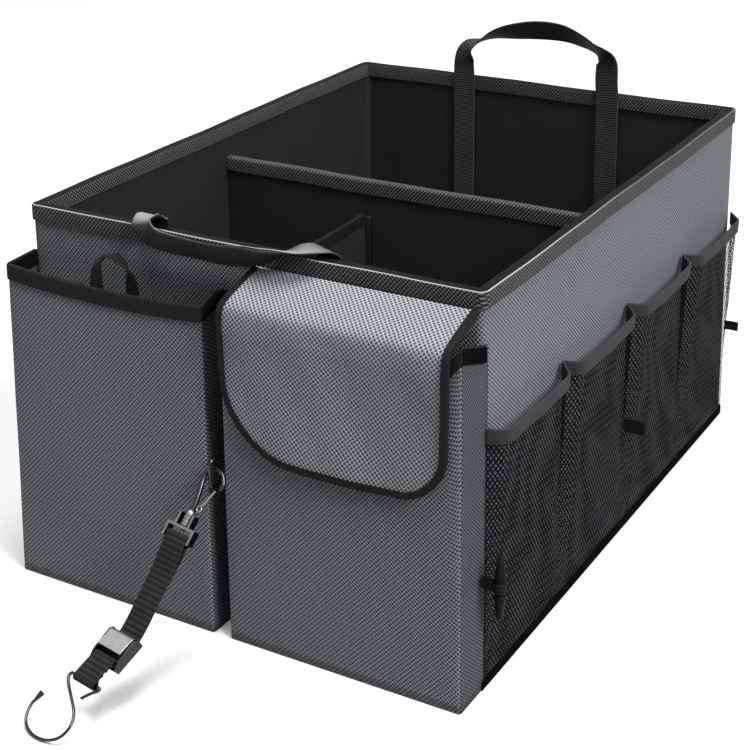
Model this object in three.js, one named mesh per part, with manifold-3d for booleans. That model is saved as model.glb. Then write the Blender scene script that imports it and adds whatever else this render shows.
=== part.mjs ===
// A folding fabric car organizer: a stiffened open box with dividers, two front pockets, one of them
// with a flap, net pockets along both sides, two webbing handles and a tie-down strap at the front.
// Millimetres. X runs along the short front, Y from front to back, Z up. The base stands on z = 0,
// under the middle of the box.
import * as THREE from "three";
import { mergeVertices } from "three/addons/utils/BufferGeometryUtils.js";
import Module from "manifold-3d";

// Box, over its bindings at the rim
const WIDTH = 380;
const DEPTH = 495;
const HEIGHT = 300;
// The base is this share wider and deeper than the rim
const SPREAD = 0.035;

// Cloth, boards and webbing
const SHELL = 1.2;
const BOARD = 3;
const BASE_BOARD = 4;
const LINING = 1;
const BINDING = 1.2;
const NET = 0.8;
const WEBBING = 1.5;
// Clearance between two layers that lie on each other
const SEAM_GAP = 0.3;
// Clearance between the boards at a fold of the side walls
const FOLD_GAP = 3;

const RIM_BINDING_HEIGHT = 12;
const BASE_BINDING_HEIGHT = 8;

// Dividers. A drop is measured down from the rim
const MAIN_DIVIDER = 5;
const MAIN_DIVIDER_Y = 0;
const MAIN_DIVIDER_DROP = 29;
const FRONT_DIVIDER = 3;
const FRONT_DIVIDER_X = -44;
const FRONT_DIVIDER_DROP = 60;
const FRONT_DIVIDER_FLANGE = 14;
const FLANGE = 1.5;

// Front pockets
const POCKET_DEPTH = 30;
const POCKET_DROP = 36;
const POCKET_OUTER_X = 189;
const LEFT_POCKET_INNER_X = -12;
const RIGHT_POCKET_INNER_X = 2;
const POCKET_BINDING_HEIGHT = 12;
const POCKET_LOOP_X = -93;
const POCKET_LOOP_SPAN = 30;
const POCKET_LOOP_RISE = 20;
const POCKET_LOOP_TAIL = 18;
const POCKET_LOOP_WIDTH = 8;

// Flap of the right pocket
const FLAP = 1.5;
const FLAP_LEFT_X = 6;
const FLAP_RIGHT_X = 182;
const FLAP_ROOT_LEFT_X = 13;
const FLAP_ROOT_RIGHT_X = 179;
const FLAP_DROP = 143;
const FLAP_SHOULDER_DROP = 34;
const FLAP_LEFT_RADIUS = 44;
const FLAP_RIGHT_RADIUS = 32;
const FLAP_STANDOFF = 6;
const FLAP_BINDING_COVER = 5;
const FLAP_BINDING_START = 7;

// Net pockets on the sides
const NET_POCKETS = 4;
const NET_TOP = 204;
const NET_BAND_HEIGHT = 11;
const NET_BAND = 1.6;
const NET_BULGE = 13;
const NET_FOOT_SHARE = 0.15;
const NET_GUSSET = 8;
const NET_CURL = 16;
const NET_END = 2;
const NET_COLUMNS = 3;
const NET_ROWS = 5;
const NET_HOLE_WIDTH = 17;
const NET_HOLE_HEIGHT = 24;
const NET_HOLE_MARGIN = 10;

// Fastening for the folded organizer, on the right side
const FASTENER_Z = 92;
const TOGGLE_LENGTH = 50;
const TOGGLE_RADIUS = 4.3;
const TOGGLE_WAIST = 3;
const TOGGLE_OUT = 16;
const FASTENER_TAPE = 9;
const SIDE_TAB_LENGTH = 18;
const SIDE_TAB_HEIGHT = 13;

// Handles, with the back one's rise and shoulder measured up from the rim
const HANDLE_WIDTH = 25;
const HANDLE_LEG_X = 74;
const HANDLE_DROP = 110;
const BACK_HANDLE_RISE = 46;
const BACK_HANDLE_SHOULDER = 18;
const HANDLE_STEPS = 72;

// Tie-down strap, from the ring down to the hook on the ground. Its pieces lie along a line between
// the two, each a distance down the line and under it, and tilted against it.
const STRAP_TOP_X = -5;
const STRAP_TOP_OUT = 42.5;
const STRAP_TOP_Z = 138;
const STRAP_FOOT_X = -37;
const STRAP_FOOT_OUT = 204.5;
const STRAP_FOOT_Z = 2;
const STRAP_WIDTH = 22;
const STRAP_WEB = 1.4;
const STRAP_PIN = 1.2;
const STRAP_STEPS = 24;
const RUNNING_GAP = 0.3;
const RING_WIRE = 2.6;
const RING_HEIGHT = 24;
const RING_REACH = 16;
const RING_BEND = 6;
const RING_EYE = 2.2;
const RING_TAPE_HEIGHT = 12;
const SNAP_TILT = 7.5;
const HOOK_WIRE = 3.4;
const BARREL_RADIUS = 3.2;
const BARREL_TOP = 28;
const BARREL_BOTTOM = 40.2;
const SWIVEL_PIN = 1;
const SWIVEL_HEAD = 2;
const GATE_WIRE = 1.4;
const GATE_PIN = 1;
const GATE_X = 5.4;
const GATE_DOWN = 24.8;
const GATE_LENGTH = 17.2;
const GATE_LEAN = 20;
const LUG = 1;
const LUG_RADIUS = 2.4;
const FRAME_TOP = 31;
const FRAME_SHOULDER = 40.5;
const FRAME_BOTTOM = 52;
const FRAME_NECK = 14.4;
const FRAME_WIDTH = 27;
const FRAME_BAR = 2;
const FRAME_SHEET = 1.8;
const FRAME_DEPTH = 6;
const FRAME_PIN_DOWN = 49;
const BUCKLE_DOWN = 137;
const BUCKLE_UNDER = 11.8;
const BUCKLE_TILT = -13.7;
const BUCKLE_LENGTH = 26;
const BUCKLE_WIDTH = 27;
const BUCKLE_SHEET = 1.4;
const BUCKLE_EAR = 4.4;
const BUCKLE_WEB_OUT = -3;
const BUCKLE_PIN_DOWN = 9.8;
const BUCKLE_PIN_OUT = 0.4;
const LEVER_PIVOT = 9;
const LEVER_RISE = 1.4;
const LEVER_LENGTH = 12.5;
const LEVER_LIFT = 0.8;
const LEVER_SHEET = 1.4;
const LEVER_PIN = 1.2;
const CROSSBAR_DOWN = 165.5;
const CROSSBAR_UNDER = 4;
const HOOK_TILT = -4.6;
const HOOK_STEEL = 2.2;
const TIP_RADIUS = 2.2;
const TIP_LENGTH = 7;

// Worked out from the sizes above
const halfWidth = WIDTH / 2;
const halfDepth = DEPTH / 2;
const shellX = halfWidth - BINDING - SEAM_GAP;
const shellY = halfDepth - BINDING - SEAM_GAP;
const boardX = shellX - SHELL - SEAM_GAP;
const boardY = shellY - SHELL - SEAM_GAP;
const liningX = boardX - BOARD - SEAM_GAP;
const liningY = boardY - BOARD - SEAM_GAP;
const insideX = liningX - LINING;
const insideY = liningY - LINING;
const rimX = insideX - SEAM_GAP - BINDING;
const rimY = insideY - SEAM_GAP - BINDING;
const wallTop = HEIGHT - BINDING - SEAM_GAP;
const rimBindingFoot = HEIGHT - RIM_BINDING_HEIGHT;
const baseBoardFoot = SHELL + SEAM_GAP;
const liningFoot = baseBoardFoot + BASE_BOARD + SEAM_GAP;
const insideFloor = liningFoot + LINING;
const pocketFront = halfDepth + POCKET_DEPTH;
const netFoot = BASE_BINDING_HEIGHT + SEAM_GAP;
const netBandFoot = NET_TOP - NET_BAND_HEIGHT;
const netWallX = shellX + SEAM_GAP;
const netWallY = shellY + SEAM_GAP;
const netPocketLength = (2 * shellY - 2 * NET_END) / NET_POCKETS;
const mainDividerTop = HEIGHT - MAIN_DIVIDER_DROP;
const frontDividerTop = HEIGHT - FRONT_DIVIDER_DROP;
const pocketTop = HEIGHT - POCKET_DROP;
const flapBottom = HEIGHT - FLAP_DROP;
const flapShoulder = HEIGHT - FLAP_SHOULDER_DROP;
const handleFoot = HEIGHT - HANDLE_DROP;
const backHandleTop = HEIGHT + BACK_HANDLE_RISE;
const backHandleShoulder = HEIGHT + BACK_HANDLE_SHOULDER;
const strapTop = new THREE.Vector3(STRAP_TOP_X, -halfDepth - STRAP_TOP_OUT, STRAP_TOP_Z);
const strapFoot = new THREE.Vector3(STRAP_FOOT_X, -halfDepth - STRAP_FOOT_OUT, STRAP_FOOT_Z);
const flapAxisY = -(halfDepth + SEAM_GAP + FLAP / 2);
const flapAxisZ = rimBindingFoot - SEAM_GAP - FLAP / 2;
const flapFaceY = -(pocketFront + FLAP_STANDOFF);

// Colours of the finishes
const GREY_CLOTH = 0x565b60;
const BLACK_CLOTH = 0x1d1d1f;
const BLACK_TAPE = 0x232323;
const NET_CLOTH = 0x36383a;
const GREYBOARD = 0x8a8378;
const BLACK_NICKEL = 0x4a4a4c;
const GREY_STEEL = 0x9d9d9d;
const BLACK_PLASTIC = 0x1b1b1a;

const wasm = await Module();
wasm.setup();

// A three.js geometry as a solid that can be joined and cut
function solid(geometry) {
  const plain = geometry.clone();
  plain.deleteAttribute("normal");
  plain.deleteAttribute("uv");
  const merged = mergeVertices(plain, 1e-4);
  const vertProperties = merged.getAttribute("position").array;
  const triVerts = new Uint32Array(merged.index.array);
  return new wasm.Manifold(new wasm.Mesh({ numProp: 3, vertProperties, triVerts }));
}

// A joined or cut solid as a three.js geometry again
function geometryOf(made) {
  const mesh = made.getMesh();
  const places = new Float32Array(mesh.numVert * 3);
  for (let i = 0; i < mesh.numVert; i += 1) {
    const from = i * mesh.numProp;
    places.set(mesh.vertProperties.subarray(from, from + 3), i * 3);
  }
  const geometry = new THREE.BufferGeometry();
  geometry.setAttribute("position", new THREE.BufferAttribute(places, 3));
  geometry.setIndex(new THREE.BufferAttribute(new Uint32Array(mesh.triVerts), 1));
  return geometry;
}

function cut(geometry, ...tools) {
  return geometryOf(tools.reduce((made, tool) => made.subtract(solid(tool)), solid(geometry)));
}

function join(geometry, ...others) {
  return geometryOf(others.reduce((made, other) => made.add(solid(other)), solid(geometry)));
}

function common(geometry, other) {
  return geometryOf(solid(geometry).intersect(solid(other)));
}

// A block between two corners
function block(x0, x1, y0, y1, z0, z1) {
  const made = new THREE.BoxGeometry(x1 - x0, y1 - y0, z1 - z0);
  return made.translate((x0 + x1) / 2, (y0 + y1) / 2, (z0 + z1) / 2);
}

// An outline drawn in (x, y), raised from z0 to z1
function raised(shape, z0, z1) {
  const made = new THREE.ExtrudeGeometry(shape, { depth: z1 - z0, bevelEnabled: false });
  return made.translate(0, 0, z0);
}

// An outline drawn in (y, z), run along X from x0 to x1
function alongX(shape, x0, x1) {
  const turn = new THREE.Matrix4().makeBasis(
    new THREE.Vector3(0, 1, 0),
    new THREE.Vector3(0, 0, 1),
    new THREE.Vector3(1, 0, 0),
  );
  const made = new THREE.ExtrudeGeometry(shape, { depth: x1 - x0, bevelEnabled: false });
  return made.applyMatrix4(turn).translate(x0, 0, 0);
}

// An outline drawn in (x, z), run along Y from y0 to y1
function alongY(shape, y0, y1) {
  const turn = new THREE.Matrix4().makeBasis(
    new THREE.Vector3(1, 0, 0),
    new THREE.Vector3(0, 0, 1),
    new THREE.Vector3(0, -1, 0),
  );
  const made = new THREE.ExtrudeGeometry(shape, { depth: y1 - y0, bevelEnabled: false });
  return made.applyMatrix4(turn).translate(0, y1, 0);
}

function polygon(points) {
  return new THREE.Shape(points.map(([x, y]) => new THREE.Vector2(x, y)));
}

// The outline of a strip of one thickness that follows a line of points, with a round start
function stripOutline(centre, thickness) {
  const half = thickness / 2;
  const left = [];
  const right = [];
  centre.forEach((point, i) => {
    const before = centre[Math.max(i - 1, 0)];
    const after = centre[Math.min(i + 1, centre.length - 1)];
    const along = after.clone().sub(before).normalize();
    const across = new THREE.Vector2(-along.y, along.x).multiplyScalar(half);
    left.push(point.clone().add(across));
    right.push(point.clone().sub(across));
  });
  const start = centre[1].clone().sub(centre[0]).angle();
  const cap = [];
  for (let i = 1; i < 6; i += 1) {
    const angle = start + Math.PI / 2 + (i * Math.PI) / 6;
    cap.push(new THREE.Vector2(Math.cos(angle), Math.sin(angle)).multiplyScalar(half).add(centre[0]));
  }
  return new THREE.Shape([...right, ...left.reverse(), ...cap]);
}

// A round bar along a smooth line through points
function bar(points, diameter, steps, sides = 10) {
  const ring = [];
  for (let i = 0; i < sides; i += 1) {
    const angle = (i * 2 * Math.PI) / sides;
    ring.push(new THREE.Vector2(Math.cos(angle), Math.sin(angle)).multiplyScalar(diameter / 2));
  }
  const path = new THREE.CatmullRomCurve3(points.map((p) => new THREE.Vector3(...p)));
  const options = { extrudePath: path, steps, bevelEnabled: false };
  return new THREE.ExtrudeGeometry(new THREE.Shape(ring), options);
}

// Flat webbing along a smooth line: at each point, the place of its middle and the way its width runs
function webbing(stations, width, thickness, steps) {
  const middle = new THREE.CatmullRomCurve3(stations.map(({ at }) => new THREE.Vector3(...at)));
  const across = new THREE.CatmullRomCurve3(stations.map(({ side }) => new THREE.Vector3(...side)));
  const strip = new THREE.BoxGeometry(1, thickness, width, steps, 1, 1);
  const places = strip.getAttribute("position");
  for (let i = 0; i < places.count; i += 1) {
    const share = places.getX(i) + 0.5;
    const along = middle.getTangent(share);
    const side = across.getPoint(share);
    side.addScaledVector(along, -side.dot(along)).normalize();
    const face = side.clone().cross(along);
    const place = middle.getPoint(share);
    place.addScaledVector(face, places.getY(i));
    place.addScaledVector(side, places.getZ(i));
    places.setXYZ(i, place.x, place.y, place.z);
  }
  return strip;
}

// How much further out the walls stand at a height than at the rim
function spreadAt(z) {
  return 1 + SPREAD * (1 - z / HEIGHT);
}

// Spreads a shape with the walls, so that what is sewn to them stays on them
function spread(geometry) {
  const places = geometry.getAttribute("position");
  for (let i = 0; i < places.count; i += 1) {
    const z = places.getZ(i);
    const more = spreadAt(z);
    places.setXYZ(i, places.getX(i) * more, places.getY(i) * more, z);
  }
  return geometry;
}

const organizer = new THREE.Group();

function piece(name, geometry, color, roughness, metalness = 0, parent = organizer) {
  const mesh = new THREE.Mesh(geometry, new THREE.MeshStandardMaterial({ color, roughness, metalness }));
  mesh.name = name;
  parent.add(mesh);
  return mesh;
}

// Outer shell, one sewn tray of grey cloth
const shellTray = cut(
  block(-shellX, shellX, -shellY, shellY, 0, wallTop),
  block(-boardX - SEAM_GAP, boardX + SEAM_GAP, -boardY - SEAM_GAP, boardY + SEAM_GAP, SHELL, HEIGHT),
);
piece("outer_shell", spread(shellTray), GREY_CLOTH, 0.9);

// Boards between the shell and the lining
const boardFoot = liningFoot;
const boardLow = [-boardX, boardX];
piece(
  "front_board",
  spread(block(...boardLow, -boardY, -boardY + BOARD, boardFoot, wallTop)),
  GREYBOARD,
  0.95,
);
piece("back_board", spread(block(...boardLow, boardY - BOARD, boardY, boardFoot, wallTop)), GREYBOARD, 0.95);
piece(
  "base_board",
  spread(block(...boardLow, -boardY, boardY, baseBoardFoot, baseBoardFoot + BASE_BOARD)),
  GREYBOARD,
  0.95,
);
const sideBoardEnd = boardY - BOARD - SEAM_GAP;
for (const [side, name] of [[-1, "left"], [1, "right"]]) {
  for (let i = 0; i < NET_POCKETS; i += 1) {
    const seam = -shellY + NET_END + i * netPocketLength;
    const from = i === 0 ? -sideBoardEnd : seam + FOLD_GAP / 2;
    const to = i === NET_POCKETS - 1 ? sideBoardEnd : seam + netPocketLength - FOLD_GAP / 2;
    const near = side < 0 ? -boardX : boardX - BOARD;
    const board = block(near, near + BOARD, from, to, boardFoot, wallTop);
    piece(`side_board_${name}_${i + 1}`, spread(board), GREYBOARD, 0.95);
  }
}

// Black lining, one sewn tray
const liningTray = cut(
  block(-liningX, liningX, -liningY, liningY, liningFoot, wallTop),
  block(-insideX, insideX, -insideY, insideY, insideFloor, HEIGHT),
);
piece("lining", spread(liningTray), BLACK_CLOTH, 0.8);

// Binding folded over the rim
const rimRing = cut(
  block(-halfWidth, halfWidth, -halfDepth, halfDepth, rimBindingFoot, HEIGHT),
  block(-rimX, rimX, -rimY, rimY, 0, 2 * HEIGHT),
);
const channelX = halfWidth - BINDING;
const channelY = halfDepth - BINDING;
const channelInnerX = rimX + BINDING;
const channelInnerY = rimY + BINDING;
const rimChannel = cut(
  block(-channelX, channelX, -channelY, channelY, 0, HEIGHT - BINDING),
  block(-channelInnerX, channelInnerX, -channelInnerY, channelInnerY, -HEIGHT, 2 * HEIGHT),
);
piece("rim_binding", spread(cut(rimRing, rimChannel)), BLACK_TAPE, 0.75);

// Binding round the foot of the sides and the back
const footRing = cut(
  block(-halfWidth, halfWidth, -halfDepth, halfDepth, 0, BASE_BINDING_HEIGHT),
  block(-netWallX, netWallX, -DEPTH, shellY + SEAM_GAP, -HEIGHT, HEIGHT),
  block(-WIDTH, WIDTH, -DEPTH, -shellY, -HEIGHT, HEIGHT),
);
piece("base_binding", spread(footRing), BLACK_TAPE, 0.75);

// Main divider across the box, with its own binding
const dividerEnd = insideX - SEAM_GAP;
const dividerTop = mainDividerTop - BINDING - SEAM_GAP;
const dividerFront = MAIN_DIVIDER_Y - MAIN_DIVIDER / 2;
const dividerBack = MAIN_DIVIDER_Y + MAIN_DIVIDER / 2;
const dividerFoot = insideFloor + SEAM_GAP;
piece(
  "main_divider",
  spread(block(-dividerEnd, dividerEnd, dividerFront, dividerBack, dividerFoot, dividerTop)),
  BLACK_CLOTH,
  0.8,
);
const dividerTapeOut = BINDING + SEAM_GAP;
const dividerTape = cut(
  block(
    -dividerEnd,
    dividerEnd,
    dividerFront - dividerTapeOut,
    dividerBack + dividerTapeOut,
    mainDividerTop - RIM_BINDING_HEIGHT,
    mainDividerTop,
  ),
  block(-WIDTH, WIDTH, dividerFront - SEAM_GAP, dividerBack + SEAM_GAP, 0, mainDividerTop - BINDING),
);
piece("main_divider_binding", spread(dividerTape), BLACK_TAPE, 0.75);

// Front divider, with the flange that joins it to the main divider
const flangeY = dividerFront - SEAM_GAP;
const frontDividerOutline = polygon([
  [FRONT_DIVIDER_X - FRONT_DIVIDER / 2, -insideY + SEAM_GAP],
  [FRONT_DIVIDER_X + FRONT_DIVIDER / 2, -insideY + SEAM_GAP],
  [FRONT_DIVIDER_X + FRONT_DIVIDER / 2, flangeY - FLANGE],
  [FRONT_DIVIDER_X + FRONT_DIVIDER_FLANGE / 2, flangeY - FLANGE],
  [FRONT_DIVIDER_X + FRONT_DIVIDER_FLANGE / 2, flangeY],
  [FRONT_DIVIDER_X - FRONT_DIVIDER_FLANGE / 2, flangeY],
  [FRONT_DIVIDER_X - FRONT_DIVIDER_FLANGE / 2, flangeY - FLANGE],
  [FRONT_DIVIDER_X - FRONT_DIVIDER / 2, flangeY - FLANGE],
]);
piece("front_divider", spread(raised(frontDividerOutline, dividerFoot, frontDividerTop)), BLACK_CLOTH, 0.8);

// Front pockets: a gusseted cloth pocket, open at the top, and the tape over its edge
function frontPocket(name, x0, x1) {
  const back = -(shellY + SEAM_GAP);
  const clothTop = pocketTop - BINDING - SEAM_GAP;
  const cloth = cut(
    block(x0, x1, -pocketFront, back, 0, clothTop),
    block(x0 + SHELL, x1 - SHELL, -pocketFront + SHELL, 0, SHELL, HEIGHT),
  );
  piece(name, spread(cloth), GREY_CLOTH, 0.9);
  const out = SEAM_GAP + BINDING;
  const tapeFoot = pocketTop - POCKET_BINDING_HEIGHT;
  const slot = SHELL + SEAM_GAP;
  const tape = cut(
    block(x0 - out, x1 + out, -pocketFront - out, back, tapeFoot, pocketTop),
    block(x0 + SHELL + out, x1 - SHELL - out, -pocketFront + SHELL + out, 0, 0, HEIGHT),
    cut(
      block(x0 - SEAM_GAP, x1 + SEAM_GAP, -pocketFront - SEAM_GAP, 0, 0, pocketTop - BINDING),
      block(x0 + slot, x1 - slot, -pocketFront + slot, HEIGHT, -HEIGHT, HEIGHT),
    ),
  );
  piece(`${name}_binding`, spread(tape), BLACK_TAPE, 0.75);
}
frontPocket("front_pocket_left", -POCKET_OUTER_X, LEFT_POCKET_INNER_X);
frontPocket("front_pocket_right", RIGHT_POCKET_INNER_X, POCKET_OUTER_X);

// Small webbing loop inside the left pocket
const loopTop = pocketTop + POCKET_LOOP_RISE;
const loopFoot = pocketTop - POCKET_LOOP_TAIL;
const loopRadius = POCKET_LOOP_SPAN / 2;
const loopShape = new THREE.Shape();
loopShape.moveTo(POCKET_LOOP_X - loopRadius, loopFoot);
loopShape.lineTo(POCKET_LOOP_X - loopRadius + POCKET_LOOP_WIDTH, loopFoot);
loopShape.lineTo(POCKET_LOOP_X - loopRadius + POCKET_LOOP_WIDTH, loopTop - loopRadius);
loopShape.absarc(POCKET_LOOP_X, loopTop - loopRadius, loopRadius - POCKET_LOOP_WIDTH, Math.PI, 0, true);
loopShape.lineTo(POCKET_LOOP_X + loopRadius - POCKET_LOOP_WIDTH, loopFoot);
loopShape.lineTo(POCKET_LOOP_X + loopRadius, loopFoot);
loopShape.absarc(POCKET_LOOP_X, loopTop - loopRadius, loopRadius, 0, Math.PI, false);
const loopFront = -pocketFront + SHELL + SEAM_GAP + BINDING + SEAM_GAP;
piece("pocket_loop", spread(alongY(loopShape, loopFront, loopFront + WEBBING)), BLACK_TAPE, 0.75);

// Flap: its section in (y, z), from the round root under the rim to the hanging edge
const flapLine = new THREE.SplineCurve([
  new THREE.Vector2(flapAxisY, flapAxisZ),
  new THREE.Vector2(flapAxisY - 10, flapAxisZ - 2.5),
  new THREE.Vector2(flapFaceY + 8, flapAxisZ - 11),
  new THREE.Vector2(flapFaceY + 1.5, flapAxisZ - 20),
  new THREE.Vector2(flapFaceY, flapAxisZ - 34),
]).getPoints(16);
const flapSection = [...flapLine, new THREE.Vector2(flapFaceY, flapBottom - HEIGHT / 10)];
const flapTapeSection = flapSection.filter((p) => p.distanceTo(flapSection[0]) > FLAP_BINDING_START);

// The flap's front outline in (x, z), grown on all sides but the root
function flapOutline(grow) {
  const shape = new THREE.Shape();
  shape.moveTo(FLAP_ROOT_LEFT_X - grow, HEIGHT);
  shape.lineTo(FLAP_ROOT_LEFT_X - grow, flapAxisZ);
  shape.lineTo(FLAP_LEFT_X - grow, flapShoulder);
  const left = FLAP_LEFT_X + FLAP_LEFT_RADIUS;
  const right = FLAP_RIGHT_X - FLAP_RIGHT_RADIUS;
  const leftTurn = [FLAP_LEFT_RADIUS + grow, Math.PI, 1.5 * Math.PI, false];
  const rightTurn = [FLAP_RIGHT_RADIUS + grow, 1.5 * Math.PI, 2 * Math.PI, false];
  shape.absarc(left, flapBottom + FLAP_LEFT_RADIUS, ...leftTurn);
  shape.absarc(right, flapBottom + FLAP_RIGHT_RADIUS, ...rightTurn);
  shape.lineTo(FLAP_RIGHT_X + grow, flapShoulder);
  shape.lineTo(FLAP_ROOT_RIGHT_X + grow, flapAxisZ);
  shape.lineTo(FLAP_ROOT_RIGHT_X + grow, HEIGHT);
  return shape;
}

function flapSolid(section, thickness, grow) {
  const bent = alongX(stripOutline(section, thickness), -WIDTH, WIDTH);
  return common(bent, alongY(flapOutline(grow), -DEPTH, 0));
}

piece("flap", spread(flapSolid(flapSection, FLAP, 0)), GREY_CLOTH, 0.9);
const flapTape = cut(
  flapSolid(flapTapeSection, FLAP + 2 * (SEAM_GAP + BINDING), SEAM_GAP + BINDING),
  alongY(flapOutline(-FLAP_BINDING_COVER), -DEPTH, 0),
  flapSolid(flapSection, FLAP + 2 * SEAM_GAP, SEAM_GAP),
);
piece("flap_binding", spread(flapTape), BLACK_TAPE, 0.75);

// How far the net stands off the wall along the side, at its top
function netStand(y) {
  const start = -shellY + NET_END;
  const along = THREE.MathUtils.clamp(y - start, 0, NET_POCKETS * netPocketLength);
  const within = along % netPocketLength;
  const rise = within / NET_GUSSET;
  const fall = (netPocketLength - within) / NET_CURL;
  return NET_BULGE * Math.max(0, Math.min(1, rise, fall));
}

// The plan of a pleated strip round all the pockets of a side, and its taper towards the foot
function pleated(thickness, z0, z1, holes = []) {
  const inner = [];
  const outer = [];
  for (let i = 0; i < NET_POCKETS; i += 1) {
    const from = -shellY + NET_END + i * netPocketLength;
    const to = from + netPocketLength;
    const turn = thickness / 2;
    inner.push([netWallX, from]);
    inner.push([netWallX + NET_BULGE, from + NET_GUSSET]);
    inner.push([netWallX + NET_BULGE, to - NET_CURL]);
    outer.push([netWallX + thickness, from]);
    outer.push([netWallX + NET_BULGE + thickness, from + NET_GUSSET - turn]);
    outer.push([netWallX + NET_BULGE + thickness, to - NET_CURL + turn]);
  }
  const end = shellY - NET_END;
  inner.push([netWallX, end]);
  outer.push([netWallX + thickness, end]);
  const strip = raised(polygon([...outer, ...inner.reverse()]), z0, z1);
  const made = holes.length ? cut(strip, ...holes) : strip;
  const places = made.getAttribute("position");
  for (let i = 0; i < places.count; i += 1) {
    const share = (places.getZ(i) - netFoot) / (NET_TOP - netFoot);
    const closed = (1 - NET_FOOT_SHARE) * (1 - share);
    places.setX(i, places.getX(i) - netStand(places.getY(i)) * closed);
  }
  return made;
}

// Diamond gaps that stand for the open net
function netHoles() {
  const holes = [];
  const clear = netPocketLength - NET_GUSSET - NET_CURL - 2 * NET_HOLE_MARGIN;
  const tall = netBandFoot - netFoot - 2 * NET_HOLE_MARGIN;
  const halfHigh = NET_HOLE_HEIGHT / 2;
  const halfWide = NET_HOLE_WIDTH / 2;
  for (let pocket = 0; pocket < NET_POCKETS; pocket += 1) {
    const start = -shellY + NET_END + pocket * netPocketLength + NET_GUSSET + NET_HOLE_MARGIN;
    for (let column = 0; column < NET_COLUMNS; column += 1) {
      const y = start + ((column + 0.5) * clear) / NET_COLUMNS;
      for (let row = 0; row < NET_ROWS; row += 1) {
        const z = netFoot + NET_HOLE_MARGIN + ((row + 0.5) * tall) / NET_ROWS;
        const diamond = polygon([
          [y - halfWide, z],
          [y, z - halfHigh],
          [y + halfWide, z],
          [y, z + halfHigh],
        ]);
        holes.push(alongX(diamond, netWallX + NET_BULGE / 2, netWallX + 2 * NET_BULGE));
      }
    }
  }
  return holes;
}

for (const [side, name] of [[-1, "left"], [1, "right"]]) {
  const net = pleated(NET, netFoot, netBandFoot - SEAM_GAP, netHoles());
  const tape = pleated(NET_BAND, netBandFoot, NET_TOP);
  piece(`side_net_${name}`, spread(net), NET_CLOTH, 0.85).scale.x = side;
  piece(`side_net_band_${name}`, spread(tape), NET_CLOTH, 0.8).scale.x = side;
}

// Toggle and its tape eye at the front seam of the right side
const toggleX = POCKET_OUTER_X * spreadAt(FASTENER_Z) + TOGGLE_OUT;
const toggleY = -(shellY + SEAM_GAP + NET_BAND + TOGGLE_WAIST) * spreadAt(FASTENER_Z);
const eyeInner = TOGGLE_WAIST + RUNNING_GAP;
const eyeOuter = eyeInner + BINDING;
const eyeHalf = FASTENER_TAPE / 2;
const toggleHalf = TOGGLE_LENGTH / 2;
const toggleProfile = [
  [0, -toggleHalf],
  [TOGGLE_RADIUS / 2, -toggleHalf],
  [TOGGLE_RADIUS, -eyeHalf - 3],
  [TOGGLE_RADIUS, -eyeHalf - RUNNING_GAP],
  [TOGGLE_WAIST, -eyeHalf - RUNNING_GAP],
  [TOGGLE_WAIST, eyeHalf + RUNNING_GAP],
  [TOGGLE_RADIUS, eyeHalf + RUNNING_GAP],
  [TOGGLE_RADIUS, eyeHalf + 3],
  [TOGGLE_RADIUS / 2, toggleHalf],
  [0, toggleHalf],
].map(([x, y]) => new THREE.Vector2(x, y));
const toggleBody = new THREE.LatheGeometry(toggleProfile, 16).rotateX(Math.PI / 2);
piece("toggle", toggleBody, BLACK_PLASTIC, 0.45).position.set(toggleX, toggleY, FASTENER_Z);
const eyeShape = new THREE.Shape();
const tapeHalf = BINDING / 2;
const eyeStart = Math.PI + Math.asin(tapeHalf / eyeOuter);
const eyeRoot = -(TOGGLE_OUT - SEAM_GAP - 0.4);
eyeShape.absarc(0, 0, eyeOuter, eyeStart, eyeStart + 2 * Math.PI - 2 * Math.asin(tapeHalf / eyeOuter), false);
eyeShape.lineTo(eyeRoot, tapeHalf);
eyeShape.lineTo(eyeRoot, -tapeHalf);
eyeShape.holes.push(new THREE.Path().absarc(0, 0, eyeInner, 0, 2 * Math.PI, true));
const eyeTape = piece("toggle_loop", raised(eyeShape, -eyeHalf, eyeHalf), BLACK_TAPE, 0.75);
eyeTape.position.set(toggleX, toggleY, FASTENER_Z);

// Short tape tab at the middle seam and tape loop at the rear seam of the right side
const tabRoot = (netWallX + NET_BAND + SEAM_GAP) * spreadAt(FASTENER_Z - SIDE_TAB_HEIGHT);
const tabHalf = SIDE_TAB_HEIGHT / 2;
const tabMiddle = -BINDING / 2;
const sideTab = block(tabRoot, tabRoot + SIDE_TAB_LENGTH, tabMiddle, tabMiddle + BINDING, -tabHalf, tabHalf);
piece("side_tab", sideTab, BLACK_TAPE, 0.75).position.z = FASTENER_Z + tabHalf;
const rearLoopY = (shellY - NET_END + SEAM_GAP) * spreadAt(FASTENER_Z - FASTENER_TAPE);
const rearLoopX = (shellX + SEAM_GAP) * spreadAt(FASTENER_Z - FASTENER_TAPE);
const rearLoop = block(
  rearLoopX,
  rearLoopX + NET_BULGE,
  rearLoopY,
  rearLoopY + BINDING,
  FASTENER_Z - eyeHalf,
  FASTENER_Z + eyeHalf,
);
piece("rear_loop", rearLoop, BLACK_TAPE, 0.75);

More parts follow.
